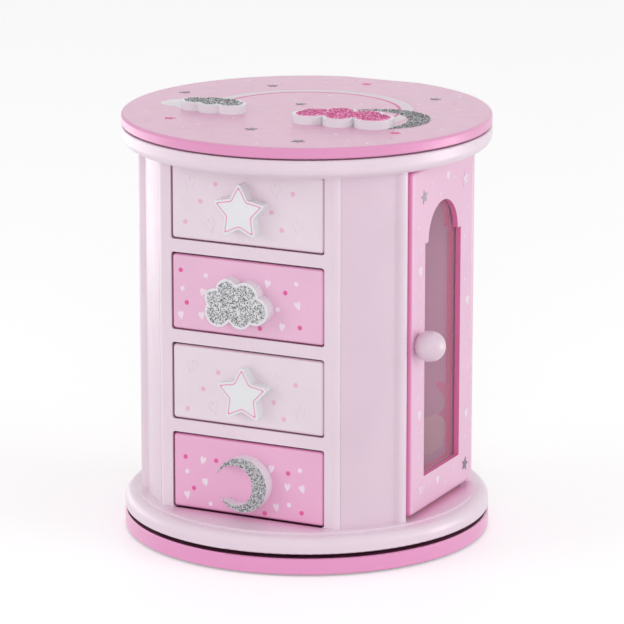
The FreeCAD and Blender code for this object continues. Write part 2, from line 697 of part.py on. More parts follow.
def make_lid_hinges():
    fixed = []
    moving = []
    pins = []
    part = LEAF_W / 3
    slack = HINGE_RUN
    for centre in (-LEAF_X, LEAF_X):
        x0 = centre - LEAF_W / 2
        x1 = centre + LEAF_W / 2
        bore = rod(HINGE_PIN_R + HINGE_RUN, V(x0, HINGE_Y, HINGE_Z), V(x1, HINGE_Y, HINGE_Z))
        back = LID_FLAT_Y + LEAF_T
        low = HINGE_Z - KNUCKLE_R - LEAF_CLEAR
        leaf = box(x0, x1, LID_FLAT_Y, back, low - FIXED_LEAF_H, low)
        for a, b in ((x0, x0 + part - slack), (x1 - part + slack, x1)):
            leaf = leaf.fuse(rod(KNUCKLE_R, V(a, HINGE_Y, HINGE_Z), V(b, HINGE_Y, HINGE_Z)))
            leaf = leaf.fuse(box(a, b, LID_FLAT_Y, back, low, HINGE_Z))
        fixed.append(leaf.cut(bore).removeSplitter())
        high = HINGE_Z + KNUCKLE_R + LEAF_CLEAR
        a = x0 + part + slack
        b = x1 - part - slack
        leaf = box(x0, x1, LID_FLAT_Y, back, high, high + MOVING_LEAF_H - KNUCKLE_R)
        leaf = leaf.fuse(rod(KNUCKLE_R, V(a, HINGE_Y, HINGE_Z), V(b, HINGE_Y, HINGE_Z)))
        leaf = leaf.fuse(box(a, b, LID_FLAT_Y, back, HINGE_Z, high))
        moving.append(leaf.cut(bore).removeSplitter())
        pins.append(rod(HINGE_PIN_R, V(x0, HINGE_Y, HINGE_Z), V(x1, HINGE_Y, HINGE_Z)))
    save("lid_hinge_fixed_leaves", *fixed)
    save("lid_hinge_moving_leaves", *moving)
    save("lid_hinge_pins", *pins)


# Top deck with ring rolls, and the stage in the well behind the top drawer
def make_top():
    deck = Part.makeCylinder(CORNICE_IN_R - DECK_GAP, DECK_T, V(0, 0, Z_CEIL))
    well = box(-WALL_X + DECK_LIP, WALL_X - DECK_LIP, WELL_Y, INSIDE_Y - DECK_LIP, Z_CEIL - 1, DECK_TOP + 1)
    save("top_deck", deck.cut(well))
    save("well_front_wall", box(-WALL_X, WALL_X, WELL_Y - WELL_WALL_T, WELL_Y, SHELF_TOP, Z_CEIL))
    cleat = box(WALL_X - CLEAT, WALL_X, WELL_Y, INSIDE_Y, STAGE_Z - CLEAT, STAGE_Z)
    save("stage_cleats", cleat, mirrored(cleat))
    stage = box(-WALL_X + STAGE_GAP, WALL_X - STAGE_GAP, WELL_Y + STAGE_GAP, INSIDE_Y - STAGE_GAP,
                STAGE_Z, STAGE_Z + STAGE_T)
    hole = rod(SPINDLE_R + SPINDLE_RUN, V(0, SPINDLE_Y, STAGE_Z - 1), V(0, SPINDLE_Y, STAGE_Z + STAGE_T + 1))
    save("stage_board", stage.cut(hole))
    rolls = []
    w = ROLL_W / 2
    z = DECK_TOP
    deck_half = math.sqrt((CORNICE_IN_R - DECK_GAP) ** 2 - (ROLL_L / 2) ** 2)
    for i in range(ROLL_COUNT):
        x = deck_half - ROLL_EDGE - w - i * ROLL_PITCH
        shoulder = z + ROLL_H - w
        y = -ROLL_L / 2
        p = [V(x - w, y, z), V(x + w, y, z), V(x + w, y, shoulder), V(x - w, y, shoulder)]
        top = V(x, y, z + ROLL_H)
        outline = Part.Wire([line(p[0], p[1]), line(p[1], p[2]), arc(p[2], top, p[3]), line(p[3], p[0])])
        roll = Part.Face(outline).extrude(V(0, ROLL_L, 0))
        rolls += [roll, mirrored(roll)]
    save("ring_rolls", *rolls)


# Gears have flat-sided teeth, thin enough to mesh with play
def gear(teeth, y0, y1, x, z, turn):
    r = teeth * MODULE / 2
    tip = r + MODULE
    root = r - 1.25 * MODULE
    half_tip = 0.11 * math.pi * MODULE / tip
    half_root = 0.27 * math.pi * MODULE / root
    points = []
    for i in range(teeth):
        mid = math.radians(turn) + 2 * math.pi * i / teeth
        for radius, lean in ((root, -half_root), (tip, -half_tip), (tip, half_tip), (root, half_root)):
            points.append(V(x + radius * math.cos(mid + lean), y0, z + radius * math.sin(mid + lean)))
    points.append(points[0])
    return Part.Face(Part.makePolygon(points)).extrude(V(0, y1 - y0, 0))


def along_y(radius, x, z, y0, y1):
    return rod(radius, V(x, y0, z), V(x, y1, z))


def governor_at():
    reach = (WHEEL_TEETH + PINION_TEETH) * MODULE / 2 + MESH_GAP
    turn = math.radians(GOVERNOR_TURN)
    return CYL_X + reach * math.cos(turn), AXIS_Z + reach * math.sin(turn)


def make_movement():
    plate_ends = ((FRONT_PLATE_Y, FRONT_PLATE_Y + PLATE_T), (REAR_PLATE_Y, REAR_PLATE_Y + PLATE_T))
    y_first = FRONT_PLATE_Y
    y_last = REAR_PLATE_Y + PLATE_T
    gov_x, gov_z = governor_at()
    frame = box(BED_X[0], BED_X[1], y_first, y_last, SHELF_TOP, SHELF_TOP + BED_T)
    for y0, y1 in plate_ends:
        frame = frame.fuse(box(BED_X[0], gov_x + PLATE_OVER, y0, y1, SHELF_TOP + BED_T, SHELF_TOP + PLATE_H))
        for x, z, r in ((0, AXIS_Z, ARBOR_R), (CYL_X, AXIS_Z, ARBOR_R), (gov_x, gov_z, GOVERNOR_SHAFT_R)):
            frame = frame.cut(along_y(r + ARBOR_RUN, x, z, y0 - 1, y1 + 1))
    comb_x0 = CYL_X + CYL_R + TUNE_PIN_H + COMB_TIP_GAP
    comb_x1 = comb_x0 + COMB_L
    comb_y0 = (DRUM_Y[0] + DRUM_Y[1] - COMB_TEETH * COMB_PITCH) / 2
    comb_y1 = comb_y0 + COMB_TEETH * COMB_PITCH
    comb_z = AXIS_Z - COMB_T / 2
    rest = box(comb_x0 + COMB_TOOTH_L + COMB_REST_IN, comb_x1, comb_y0, comb_y1, SHELF_TOP + BED_T, comb_z)
    save("movement_frame", frame.fuse(rest).removeSplitter())
    comb = box(comb_x0, comb_x1, comb_y0, comb_y1, comb_z, comb_z + COMB_T)
    slits = []
    for i in range(1, COMB_TEETH):
        y = comb_y0 + i * COMB_PITCH
        half = COMB_SLIT / 2
        slit_end = comb_x0 + COMB_TOOTH_L
        slits.append(box(comb_x0 - 1, slit_end, y - half, y + half, comb_z - 1, comb_z + COMB_T + 1))
    save("music_comb", comb.cut(Part.makeCompound(slits)))

    barrel = along_y(DRUM_R, 0, AXIS_Z, *DRUM_Y).fuse(along_y(HUB_R, 0, AXIS_Z, DRUM_Y[1], GEAR_Y[0]))
    barrel = barrel.fuse(gear(BARREL_TEETH, GEAR_Y[0], GEAR_Y[1], 0, AXIS_Z, 0))
    barrel = barrel.fuse(along_y(ARBOR_R, 0, AXIS_Z, y_first - ARBOR_OUT, INSIDE_Y))
    save("spring_barrel", barrel.removeSplitter())
    key_y = FLAT_Y + KEY_STEM_L
    stem = along_y(KEY_STEM_R, 0, AXIS_Z, INSIDE_Y, key_y + KEY_WING[1])
    half = KEY_WING[2] / 2
    wing = box(0, KEY_WING[0], key_y, key_y + 2 * KEY_WING[1], AXIS_Z - half, AXIS_Z + half)
    wing = round_edges(wing, KEY_WING_ROUND, lambda e: e.Length < KEY_WING[2] + 0.01 and e.CenterOfMass.x > 1)
    eye = V(KEY_EYE_X, key_y + KEY_WING[1], AXIS_Z)
    through = V(0, 0, KEY_WING[2])
    wing = wing.cut(rod(KEY_EYE_R, eye - through, eye + through))
    save("winding_key", stem.fuse(wing).fuse(mirrored(wing)).removeSplitter())

    arbor = along_y(ARBOR_R, CYL_X, AXIS_Z, y_first - ARBOR_OUT, y_last + ARBOR_OUT)
    cylinder = along_y(CYL_R, CYL_X, AXIS_Z, *DRUM_Y).fuse(arbor)
    half_tooth = 180.0 / CYLINDER_TEETH
    cylinder = cylinder.fuse(gear(CYLINDER_TEETH, GEAR_Y[0], GEAR_Y[1], CYL_X, AXIS_Z, half_tooth))
    cylinder = cylinder.fuse(gear(WHEEL_TEETH, WHEEL_Y[0], WHEEL_Y[1], CYL_X, AXIS_Z, GOVERNOR_TURN))
    pins = []
    for i in range(2 * COMB_TEETH):
        y = comb_y0 + (i % COMB_TEETH + 0.5) * COMB_PITCH
        turn = math.radians((i * 137.5) % 360)
        out = V(math.cos(turn), 0, math.sin(turn))
        foot = V(CYL_X, y, AXIS_Z) + out * (CYL_R - TUNE_PIN_H)
        pins.append(rod(TUNE_PIN_R, foot, foot + out * (2 * TUNE_PIN_H)))
    save("music_cylinder", cylinder.multiFuse(pins).removeSplitter())

    shaft = along_y(GOVERNOR_SHAFT_R, gov_x, gov_z, y_first - ARBOR_OUT, y_last + ARBOR_OUT)
    pinion_turn = GOVERNOR_TURN + 180 + 180.0 / PINION_TEETH
    pinion = gear(PINION_TEETH, WHEEL_Y[0], WHEEL_Y[1], gov_x, gov_z, pinion_turn)
    half = FAN_T / 2
    fan = box(gov_x - FAN_R, gov_x + FAN_R, DRUM_Y[0], DRUM_Y[1] - FAN_SHORT, gov_z - half, gov_z + half)
    save("governor", shaft.fuse(pinion).fuse(fan).removeSplitter())

    disc_z = AXIS_Z + CROWN_CLEAR
    crown = rod(CROWN_DISC_R, V(0, SPINDLE_Y, disc_z), V(0, SPINDLE_Y, disc_z + CROWN_DISC_T))
    crown = crown.fuse(rod(SPINDLE_R, V(0, SPINDLE_Y, disc_z), V(0, SPINDLE_Y, SPINDLE_TOP_Z)))
    teeth = []
    half_w = CROWN_TOOTH[0] / 2
    near = CROWN_PITCH_R - CROWN_TOOTH[1] / 2
    far = CROWN_PITCH_R + CROWN_TOOTH[1] / 2
    for i in range(CROWN_TEETH):
        tooth = box(-half_w, half_w, near, far, AXIS_Z + CROWN_REACH, disc_z)
        tooth.rotate(V(0, 0, 0), V(0, 0, 1), (i + 0.5) * 360.0 / CROWN_TEETH)
        tooth.translate(V(0, SPINDLE_Y, 0))
        teeth.append(tooth)
    save("crown_spindle", crown.multiFuse(teeth).removeSplitter())


# The dancer is drawn upright above her pivot and then folded forward under the closed lid
BEND_R = SPRING_RISE / math.radians(FOLD)
TANGENT = BEND_R * math.tan(math.radians(FOLD / 2))
PIVOT_Z = SPINDLE_TOP_Z + TANGENT


def fold(shape):
    shape.rotate(V(0, 0, 0), V(1, 0, 0), FOLD)
    shape.translate(V(0, SPINDLE_Y, PIVOT_Z))
    return shape


def spring_point(t):
    bend = math.radians(FOLD) * t
    core = V(0, SPINDLE_Y - BEND_R * (1 - math.cos(bend)), SPINDLE_TOP_Z + BEND_R * math.sin(bend))
    across = V(0, -math.cos(bend), -math.sin(bend))
    wind = 2 * math.pi * SPRING_TURNS * t
    return core + V(1, 0, 0) * (SPRING_R * math.cos(wind)) + across * (SPRING_R * math.sin(wind))


def spring_way(t):
    return (spring_point(t + 1e-5) - spring_point(t - 1e-5)).normalize()


def biarc(a, way_a, b, way_b):
    span = b - a
    both = way_a + way_b
    q = 2 * (1 - way_a.dot(way_b))
    s = span.dot(both)
    d = (-s + math.sqrt(s * s + q * span.dot(span))) / q
    mid = (a + b + (way_a - way_b) * d) * 0.5
    edges = []
    for start, way, end in ((a, way_a, mid), (b, way_b * -1, mid)):
        chord = end - start
        side = chord - way * chord.dot(way)
        radius = chord.dot(chord) / (2 * side.Length)
        centre = start + side.normalize() * radius
        half = (start + end) * 0.5 - centre
        edges.append(arc(start, centre + half.normalize() * radius, end))
    return edges


def make_spring():
    steps = 8 * SPRING_TURNS
    edges = []
    for i in range(steps):
        t0 = i / steps
        t1 = (i + 1) / steps
        edges += biarc(spring_point(t0), spring_way(t0), spring_point(t1), spring_way(t1))
    path = Part.Wire(Part.sortEdges(edges)[0])
    start = spring_point(0)
    ring_wire = Part.Wire([Part.Circle(start, spring_way(0), SPRING_WIRE_R).toShape()])
    coil = path.makePipeShell([ring_wire], True, False)
    inner = (BEND_R - SPRING_R) / BEND_R * SPRING_RISE / SPRING_TURNS - 2 * SPRING_WIRE_R
    print("spring gap on the inside of the bend", round(inner, 2))
    save("ballerina_spring", coil)


def make_dancer():
    collar_z = TANGENT + SPRING_WIRE_R + COLLAR_GAP
    collar = rod(COLLAR_R, V(0, 0, collar_z), V(0, 0, collar_z + COLLAR_L))
    collar = collar.cut(rod(PEG_R + PEG_RUN, V(0, 0, collar_z + COLLAR_FLOOR), V(0, 0, collar_z + COLLAR_L)))
    save("ballerina_collar", fold(collar))
    z = HIP_UP
    peg_z = collar_z + COLLAR_FLOOR + PEG_END_GAP
    knee = V(KNEE_AT[0], 0, z + KNEE_AT[1])
    toe = V(TOE_AT[0], 0, z + TOE_AT[1])
    parts = [rod(PEG_R, V(0, 0, peg_z), V(0, 0, peg_z + PEG_L))]
    parts.append(cone(ANKLE_R, THIGH_R, V(0, 0, peg_z + ANKLE_UP), V(STAND_X, 0, z)))
    parts.append(cone(LIFT_THIGH_R, KNEE_R, V(LIFT_X, 0, z), knee))
    parts.append(Part.makeSphere(KNEE_R, knee))
    parts.append(cone(KNEE_R, TOE_R, knee, toe))
    brim = z + TUTU_RISE
    skirt = [V(0, 0, z - TUTU_RISE), V(TUTU_R, 0, brim), V(TUTU_R, 0, brim + TUTU_T), V(0, 0, z + TUTU_CROWN)]
    tutu = turned([line(skirt[i], skirt[(i + 1) % 4]) for i in range(4)])
    for i in range(TUTU_WAVES):
        turn = 2 * math.pi * i / TUTU_WAVES
        at = V((TUTU_R + WAVE_OUT) * math.cos(turn), (TUTU_R + WAVE_OUT) * math.sin(turn), z - TUTU_RISE)
        tutu = tutu.cut(Part.makeCylinder(WAVE_R, 2 * TUTU_CROWN, at))
    parts.append(tutu)
    body = [V(0, 0, z)] + [V(r, 0, z + up) for r, up in BODICE] + [V(0, 0, z + BODICE[-1][1])]
    parts.append(turned([line(body[i], body[(i + 1) % len(body)]) for i in range(len(body))]))
    head_z = z + HEAD_UP
    parts.append(Part.makeSphere(HEAD_R, V(0, 0, head_z)))
    parts.append(Part.makeSphere(BUN_R, V(0, BUN_BACK, head_z + HEAD_R)))
    for side in (-1, 1):
        shoulder = V(side * SHOULDER[0], 0, z + SHOULDER[1])
        elbow = V(side * ELBOW[0], ELBOW[1], head_z + ELBOW[2])
        hand = V(side * HAND[0], HAND[1], head_z + HAND[2])
        path = Part.Wire([arc(shoulder, elbow, hand)])
        way = (path.Edges[0].tangentAt(path.Edges[0].FirstParameter)).normalize()
        sleeve = Part.Wire([Part.Circle(shoulder, way, ARM_R).toShape()])
        parts.append(path.makePipeShell([sleeve], True, False))
        parts.append(Part.makeSphere(HAND_R, hand))
    save("ballerina", fold(parts[0].multiFuse(parts[1:]).removeSplitter()))


make_base()
make_turntable()
make_plinth()
make_cornice()
make_boards()
make_corners()
make_drawers()
make_door()
make_side_fittings()
make_lid()
make_lid_hinges()
make_top()
make_movement()
make_spring()
make_dancer()
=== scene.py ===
# %% [markdown]
# A ballerina jewellery box, dressed in paint, print and glitter.
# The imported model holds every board, joint and gear at its real size. This lesson gives each of them its
# finish, and adds the thin things that a painter or a printer would add: dots, hearts, stars, glitter,
# velvet, screws and the little dancer under the lid.

# %% Load the frame
import json
import math

import bmesh
import bpy
from mathutils import Euler, Matrix, Vector


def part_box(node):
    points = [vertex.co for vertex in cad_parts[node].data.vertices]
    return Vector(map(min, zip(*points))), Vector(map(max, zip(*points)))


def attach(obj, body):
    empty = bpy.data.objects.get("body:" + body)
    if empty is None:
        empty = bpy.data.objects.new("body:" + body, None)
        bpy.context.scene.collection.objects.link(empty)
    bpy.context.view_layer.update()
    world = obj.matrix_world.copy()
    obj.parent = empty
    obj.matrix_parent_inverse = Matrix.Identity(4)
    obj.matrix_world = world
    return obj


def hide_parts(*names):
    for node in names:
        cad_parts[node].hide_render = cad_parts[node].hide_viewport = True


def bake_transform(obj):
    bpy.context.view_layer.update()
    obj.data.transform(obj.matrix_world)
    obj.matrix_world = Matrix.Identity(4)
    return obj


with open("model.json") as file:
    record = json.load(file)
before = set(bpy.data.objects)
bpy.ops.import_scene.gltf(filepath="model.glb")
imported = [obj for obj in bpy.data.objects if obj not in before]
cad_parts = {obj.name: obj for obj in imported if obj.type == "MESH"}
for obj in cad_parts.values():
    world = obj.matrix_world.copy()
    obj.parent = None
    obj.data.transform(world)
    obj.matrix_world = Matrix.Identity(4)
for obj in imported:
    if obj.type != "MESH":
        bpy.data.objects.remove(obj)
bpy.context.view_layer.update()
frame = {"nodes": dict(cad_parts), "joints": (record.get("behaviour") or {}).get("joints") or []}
MM = 0.001
FILM = 0.03 * MM


# %% [markdown]
# Sizes are read from the frame wherever a finish has to follow a board, so a print stays on its drawer if
# the drawer is made taller. Three helpers give the edges and the middle of a node, and a joint's place.

# %% Places read from the frame
def span(node, axis):
    low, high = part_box(node)
    return low[axis], high[axis]


def middle(node, axis):
    low, high = span(node, axis)
    return (low + high) / 2


def joint_place(name):
    for joint in frame["joints"]:
        if joint["name"] == name:
            return Vector(joint["pos_m"])
    raise KeyError(name)


LID_TOP = span("lid_board", 2)[1]
FRONT_Y = span("drawer_1_front", 1)[0]
DOOR_X = span("right_door_frame", 0)[1]
for label, place in (("lid top", LID_TOP), ("front face", FRONT_Y), ("door face", DOOR_X)):
    print(label, "at", round(place / MM, 1), "mm")


# %% [markdown]
# The box is painted board. Satin paint is never one flat colour: a roller leaves a faint orange peel, the
# tone drifts a little over a hand's width, and the gloss changes with it. All of this comes from noise on
# Object coordinates, so the paint stays put when a drawer slides or a door swings.

# %% Colour and node helpers
def ink(red, green, blue):
    def linear(value):
        share = value / 255
        return share / 12.92 if share <= 0.04045 else ((share + 0.055) / 1.055) ** 2.4
    return (linear(red), linear(green), linear(blue), 1.0)


class Finish:
    """One material under construction: its node tree, and its shader and coordinates."""

    def __init__(self, name):
        self.material = bpy.data.materials.new(name)
        self.material.use_nodes = True
        self.nodes = self.material.node_tree.nodes
        self.links = self.material.node_tree.links
        self.shader = self.nodes["Principled BSDF"]
        self.coords = self.nodes.new("ShaderNodeTexCoord")

    def set(self, **values):
        for name, value in values.items():
            self.shader.inputs[name.replace("_", " ").title().replace("Ior", "IOR")].default_value = value
        return self

    def join(self, source, target):
        self.links.new(source, target)

    def noise(self, scale, detail=3.0, roughness=0.55, source=None):
        node = self.nodes.new("ShaderNodeTexNoise")
        node.inputs["Scale"].default_value = scale
        node.inputs["Detail"].default_value = detail
        node.inputs["Roughness"].default_value = roughness
        self.join(source or self.coords.outputs["Object"], node.inputs["Vector"])
        return node.outputs["Fac"]

    def remap(self, value, low, high, to_low, to_high, smooth=False):
        node = self.nodes.new("ShaderNodeMapRange")
        node.interpolation_type = "SMOOTHSTEP" if smooth else "LINEAR"
        limits = {"From Min": low, "From Max": high, "To Min": to_low, "To Max": to_high}
        for name, number in limits.items():
            node.inputs[name].default_value = number
        self.join(value, node.inputs["Value"])
        return node.outputs["Result"]

    def mix(self, factor, first, second):
        node = self.nodes.new("ShaderNodeMix")
        node.data_type = "RGBA"
        self.join(factor, node.inputs["Factor"])
        for socket, colour in ((node.inputs["A"], first), (node.inputs["B"], second)):
            colour_socket = [s for s in node.inputs if s.name == socket.name and s.type == "RGBA"][0]
            if isinstance(colour, tuple):
                colour_socket.default_value = colour
            else:
                self.join(colour, colour_socket)
        return [s for s in node.outputs if s.type == "RGBA"][0]

    def part(self, vector, axis):
        node = self.nodes.new("ShaderNodeSeparateXYZ")
        self.join(vector, node.inputs["Vector"])
        return node.outputs[axis]

    def maths(self, kind, first, second=None):
        node = self.nodes.new("ShaderNodeMath")
        node.operation = kind
        for socket, value in zip(node.inputs, (first, second)):
            if isinstance(value, (int, float)):
                socket.default_value = value
            elif value is not None:
                self.join(value, socket)
        return node.outputs["Value"]

    def colour(self, output):
        self.join(output, self.shader.inputs["Base Color"])

    def rough(self, output):
        self.join(output, self.shader.inputs["Roughness"])

    def bump(self, height, strength, distance):
        node = self.nodes.new("ShaderNodeBump")
        node.inputs["Strength"].default_value = strength
        node.inputs["Distance"].default_value = distance
        self.join(height, node.inputs["Height"])
        self.join(node.outputs["Normal"], self.shader.inputs["Normal"])


def shifted(colour, gain):
    return tuple(min(1.0, channel * gain) for channel in colour[:3]) + (1.0,)


print("a grey of 128 is", round(ink(128, 128, 128)[0], 3), "in linear light")


# %% Painted board
PEEL_SCALE = 700.0
PEEL_DEPTH = 0.12 * MM
DRIFT_SCALE = 22.0


def drifting(finish, colour, dark=0.965, light=1.025):
    """A colour that drifts a little over a hand's width."""
    share = finish.remap(finish.noise(DRIFT_SCALE, 4.0), 0.3, 0.7, 0.0, 1.0)
    return finish.mix(share, shifted(colour, dark), shifted(colour, light))


def rolled(finish, gloss=0.36):
    """The orange peel that a roller leaves, and a gloss that wanders with it."""
    wander = finish.noise(PEEL_SCALE / 6, 2.0)
    finish.rough(finish.remap(wander, 0.3, 0.7, gloss - 0.05, gloss + 0.07))
    finish.bump(finish.noise(PEEL_SCALE, 2.0), 0.16, PEEL_DEPTH)
    return finish


def lacquered(finish, gloss=0.36):
    return rolled(finish, gloss).set(coat_weight=0.8, coat_roughness=0.34).material


def painted(name, colour, edge=None, axis="X", gloss=0.36, turn=(0.55, 0.97)):
    """Satin paint; edge is the colour of the sides of a board whose face looks along axis, and
    turn says how squarely a spot looks that way where that colour starts to fade and is gone."""
    finish = Finish(name)
    tone = drifting(finish, colour)
    if edge:
        square_on = finish.maths("ABSOLUTE", finish.part(finish.coords.outputs["Normal"], axis))
        tone = finish.mix(finish.remap(square_on, *turn, 0.0, 1.0, True), edge, tone)
    finish.colour(tone)
    return lacquered(finish, gloss)


PALE = ink(236, 216, 229)
BASE_PINK = ink(236, 154, 202)
LID_PINK = ink(229, 166, 200)
DRAWER_PINK = ink(239, 188, 217)
DRAWER_PALE = ink(237, 221, 231)
DEEP_PINK = ink(222, 120, 174)
WHITE = ink(234, 234, 237)
PAINTS = {
    "pale_board": painted("pale_board_paint", PALE),
    # The base's top and underside are a dark plum, painted shade for the gap under the plinth; its side is
    # pink.
    "base": painted("base_paint", ink(96, 40, 68), BASE_PINK, "Z", turn=(0.95, 0.999)),
    "panel": painted("panel_paint", ink(227, 202, 218)),
    "lid": painted("lid_paint", LID_PINK, ink(230, 148, 195), "Z"),
    "pink_front": painted("pink_drawer_paint", DRAWER_PINK, ink(228, 152, 194), "Y"),
    "rose_front": painted("rose_drawer_paint", ink(239, 177, 212), ink(226, 138, 186), "Y"),
    "pale_front": painted("pale_drawer_paint", DRAWER_PALE, ink(228, 190, 210), "Y"),
    "white": painted("white_paint", WHITE, gloss=0.32),
    "knob": painted("pearl_knob_paint", ink(230, 206, 221), gloss=0.28),
}
print("paints:", ", ".join(PAINTS))


# %% [markdown]
# The doors take four tones: a pale pink face, a deeper pink on the outer edges, and in the window a bright
# pink before the pane and a crimson behind it, which is painted shade on the window's inner wall. The shader
# tells them apart by the direction of the surface and by its depth.

# %% Door paint
DOOR_FACE = ink(237, 187, 216)
WINDOW_EDGE = ink(238, 126, 178)
# Crimson behind the pane: painted shade on the window's inner wall.
WINDOW_PAINTED_SHADE = ink(214, 70, 118)
STILE_MIDDLE = (28 * MM, 30 * MM)
PANE_BLEND = 0.4 * MM


def door_paint(name, side):
    """Side is 1 for the right-hand door and -1 for the left-hand one."""
    finish = Finish(name)
    face = drifting(finish, DOOR_FACE, 0.97, 1.02)
    square_on = finish.maths("ABSOLUTE", finish.part(finish.coords.outputs["Normal"], "X"))
    depth = finish.maths("MULTIPLY", finish.part(finish.coords.outputs["Object"], "X"), side)
    pane_x = span("right_window_pane", 0)[1]
    # Past the pane's depth the window wall takes the painted shade.
    behind_pane = finish.remap(depth, pane_x - PANE_BLEND, pane_x + PANE_BLEND, 0.0, 1.0)
    wall = finish.mix(behind_pane, WINDOW_PAINTED_SHADE, WINDOW_EDGE)
    across = finish.maths("ABSOLUTE", finish.part(finish.coords.outputs["Object"], "Y"))
    inside = finish.remap(across, *STILE_MIDDLE, 1.0, 0.0)
    sides = finish.mix(inside, DEEP_PINK, wall)
    finish.colour(finish.mix(finish.remap(square_on, 0.5, 0.97, 0.0, 1.0, True), sides, face))
    return lacquered(finish)


PAINTS["right_door"] = door_paint("right_door_paint", 1.0)
PAINTS["left_door"] = door_paint("left_door_paint", -1.0)
print("door paints change tone at the pane,", round(span("right_window_pane", 0)[1] / MM, 1), "mm out")


# %% [markdown]
# Two boards carry painted light and shade. The drawer openings have painted shade inside, so that the gaps
# round the fronts read as fine lines, and painted light on the sill and the left-hand wall. The plinth takes
# a painted pink bounce of light where the pink drawer fronts and the door stand over its step, and painted
# shade where the cabinet hides it. Both are told by place, the openings also by the direction of the surface.

# %% Frame and plinth paint
REVEAL_DEPTH = 1.6 * MM
REVEAL_EDGE = (0.7 * MM, 1.2 * MM)
# Painted shade inside the drawer openings and under the cabinet; painted light on opening walls facing up or
# right.
PAINTED_SHADE = ink(84, 40, 62)
REVEAL_PAINTED_LIGHT = ink(206, 156, 182)
# A painted pink bounce of light on the plinth's step before the pink drawer fronts and the door.
PAINTED_BOUNCE_PINK = ink(237, 184, 215)
BOUNCE_REACH = 14 * MM
BOUNCE_START = (-3 * MM, -1 * MM)
BOUNCE_ENDS = (-12 * MM, 10 * MM)
HIDDEN_X = 50 * MM
HIDDEN_Y = -FRONT_Y + 0.2 * MM


def frame_paint(name):
    """Pale boards with painted shade inside the drawer openings, and painted light on the sill and left wall.
    """
    finish = Finish(name)
    face = drifting(finish, PALE)
    depth = finish.part(finish.coords.outputs["Object"], "Y")
    front = span("front_frame", 1)[0]
    deep = finish.remap(depth, front + 0.4 * REVEAL_DEPTH, front + REVEAL_DEPTH, 0.0, 1.0)
    across = finish.maths("ABSOLUTE", finish.part(finish.coords.outputs["Object"], "X"))
    half = span("drawer_2_front", 0)[1]
    inside = finish.remap(across, half + REVEAL_EDGE[0], half + REVEAL_EDGE[1], 1.0, 0.0)
    normal = finish.coords.outputs["Normal"]
    # Painted light where the reveal faces up or right, painted shade where it faces down or left.
    upward = finish.maths("MAXIMUM", finish.part(normal, "X"), finish.part(normal, "Z"))
    reveal = finish.mix(finish.remap(upward, 0.2, 0.8, 0.0, 1.0), PAINTED_SHADE, REVEAL_PAINTED_LIGHT)
    finish.colour(finish.mix(finish.maths("MULTIPLY", deep, inside), face, reveal))
    return lacquered(finish)


def plinth_paint(name):
    """Pale board with painted shade under the cabinet and painted pink bounce light by the pink fronts and
    door.
    """
    finish = Finish(name)
    pale = drifting(finish, PALE)
    place = finish.coords.outputs["Object"]
    x, y = finish.part(place, "X"), finish.part(place, "Y")
    x_off, y_off = finish.maths("ABSOLUTE", x), finish.maths("ABSOLUTE", y)
    ahead = finish.maths("MULTIPLY", y, -1.0)
    drawer = (ahead, -FRONT_Y, x_off, span("drawer_4_front", 0)[1])
    door = (x, DOOR_X, y_off, span("right_door_frame", 1)[1])
    bounce_shares = []
    for away, board, beside, half in (drawer, door):
        starts = finish.remap(away, board + BOUNCE_START[0], board + BOUNCE_START[1], 0.0, 1.0)
        fades = finish.remap(away, board, board + BOUNCE_REACH, 1.0, 0.0, True)
        ends = finish.remap(beside, half + BOUNCE_ENDS[0], half + BOUNCE_ENDS[1], 1.0, 0.0, True)
        bounce_shares.append(finish.maths("MULTIPLY", finish.maths("MULTIPLY", starts, fades), ends))
    # The pink bounce of light is painted on the step.
    tone = finish.mix(finish.maths("MAXIMUM", *bounce_shares), pale, PAINTED_BOUNCE_PINK)
    # Painted shade where the cabinet stands over the plinth.
    under_x = finish.maths("LESS_THAN", x_off, HIDDEN_X)
    under_y = finish.maths("LESS_THAN", y_off, HIDDEN_Y)
    finish.colour(finish.mix(finish.maths("MULTIPLY", under_y, under_x), tone, PAINTED_SHADE))
    return lacquered(finish)


PAINTS["frame"] = frame_paint("front_frame_paint")
PAINTS["plinth"] = plinth_paint("plinth_paint")
print("paints:", ", ".join(PAINTS))


# %% [markdown]
# Inside, the boards are faced with velour paper, the drawer boxes are plain painted board, and the works
# are brass, steel and nylon. Metal is told by its reflections, so its colour barely varies and the fine
# brushing goes into its roughness.

# %% Linings, metals and plastics
def velour(name, colour, pile=2600.0):
    finish = Finish(name)
    nap = finish.noise(60.0, 5.0, 0.7)
    tone = finish.mix(finish.remap(nap, 0.3, 0.7, 0.0, 1.0), shifted(colour, 0.86), shifted(colour, 1.1))
    finish.colour(tone)
    finish.bump(finish.noise(pile, 3.0, 0.8), 0.5, 0.3 * MM)
    return finish.set(roughness=0.9, sheen_weight=0.45, sheen_roughness=0.4, sheen_tint=colour).material


def metal(name, colour, rough, stretch=(40.0, 900.0, 900.0)):
    finish = Finish(name)
    mapping = finish.nodes.new("ShaderNodeMapping")
    mapping.inputs["Scale"].default_value = stretch
    finish.join(finish.coords.outputs["Object"], mapping.inputs["Vector"])
    grain = finish.noise(1.0, 4.0, 0.6, mapping.outputs["Vector"])
    finish.colour(finish.mix(grain, shifted(colour, 0.85), shifted(colour, 1.08)))
    finish.rough(finish.remap(grain, 0.3, 0.7, rough - 0.06, rough + 0.1))
    return finish.set(metallic=1.0).material


def plastic(name, colour, rough, grain=400.0):
    finish = Finish(name)
    speck = finish.noise(grain, 3.0)
    share = finish.remap(speck, 0.3, 0.7, 0.0, 1.0)
    finish.colour(finish.mix(share, shifted(colour, 0.96), shifted(colour, 1.03)))
    finish.rough(finish.remap(speck, 0.3, 0.7, rough - 0.05, rough + 0.05))
    finish.bump(speck, 0.08, 0.1 * MM)
    return finish.material


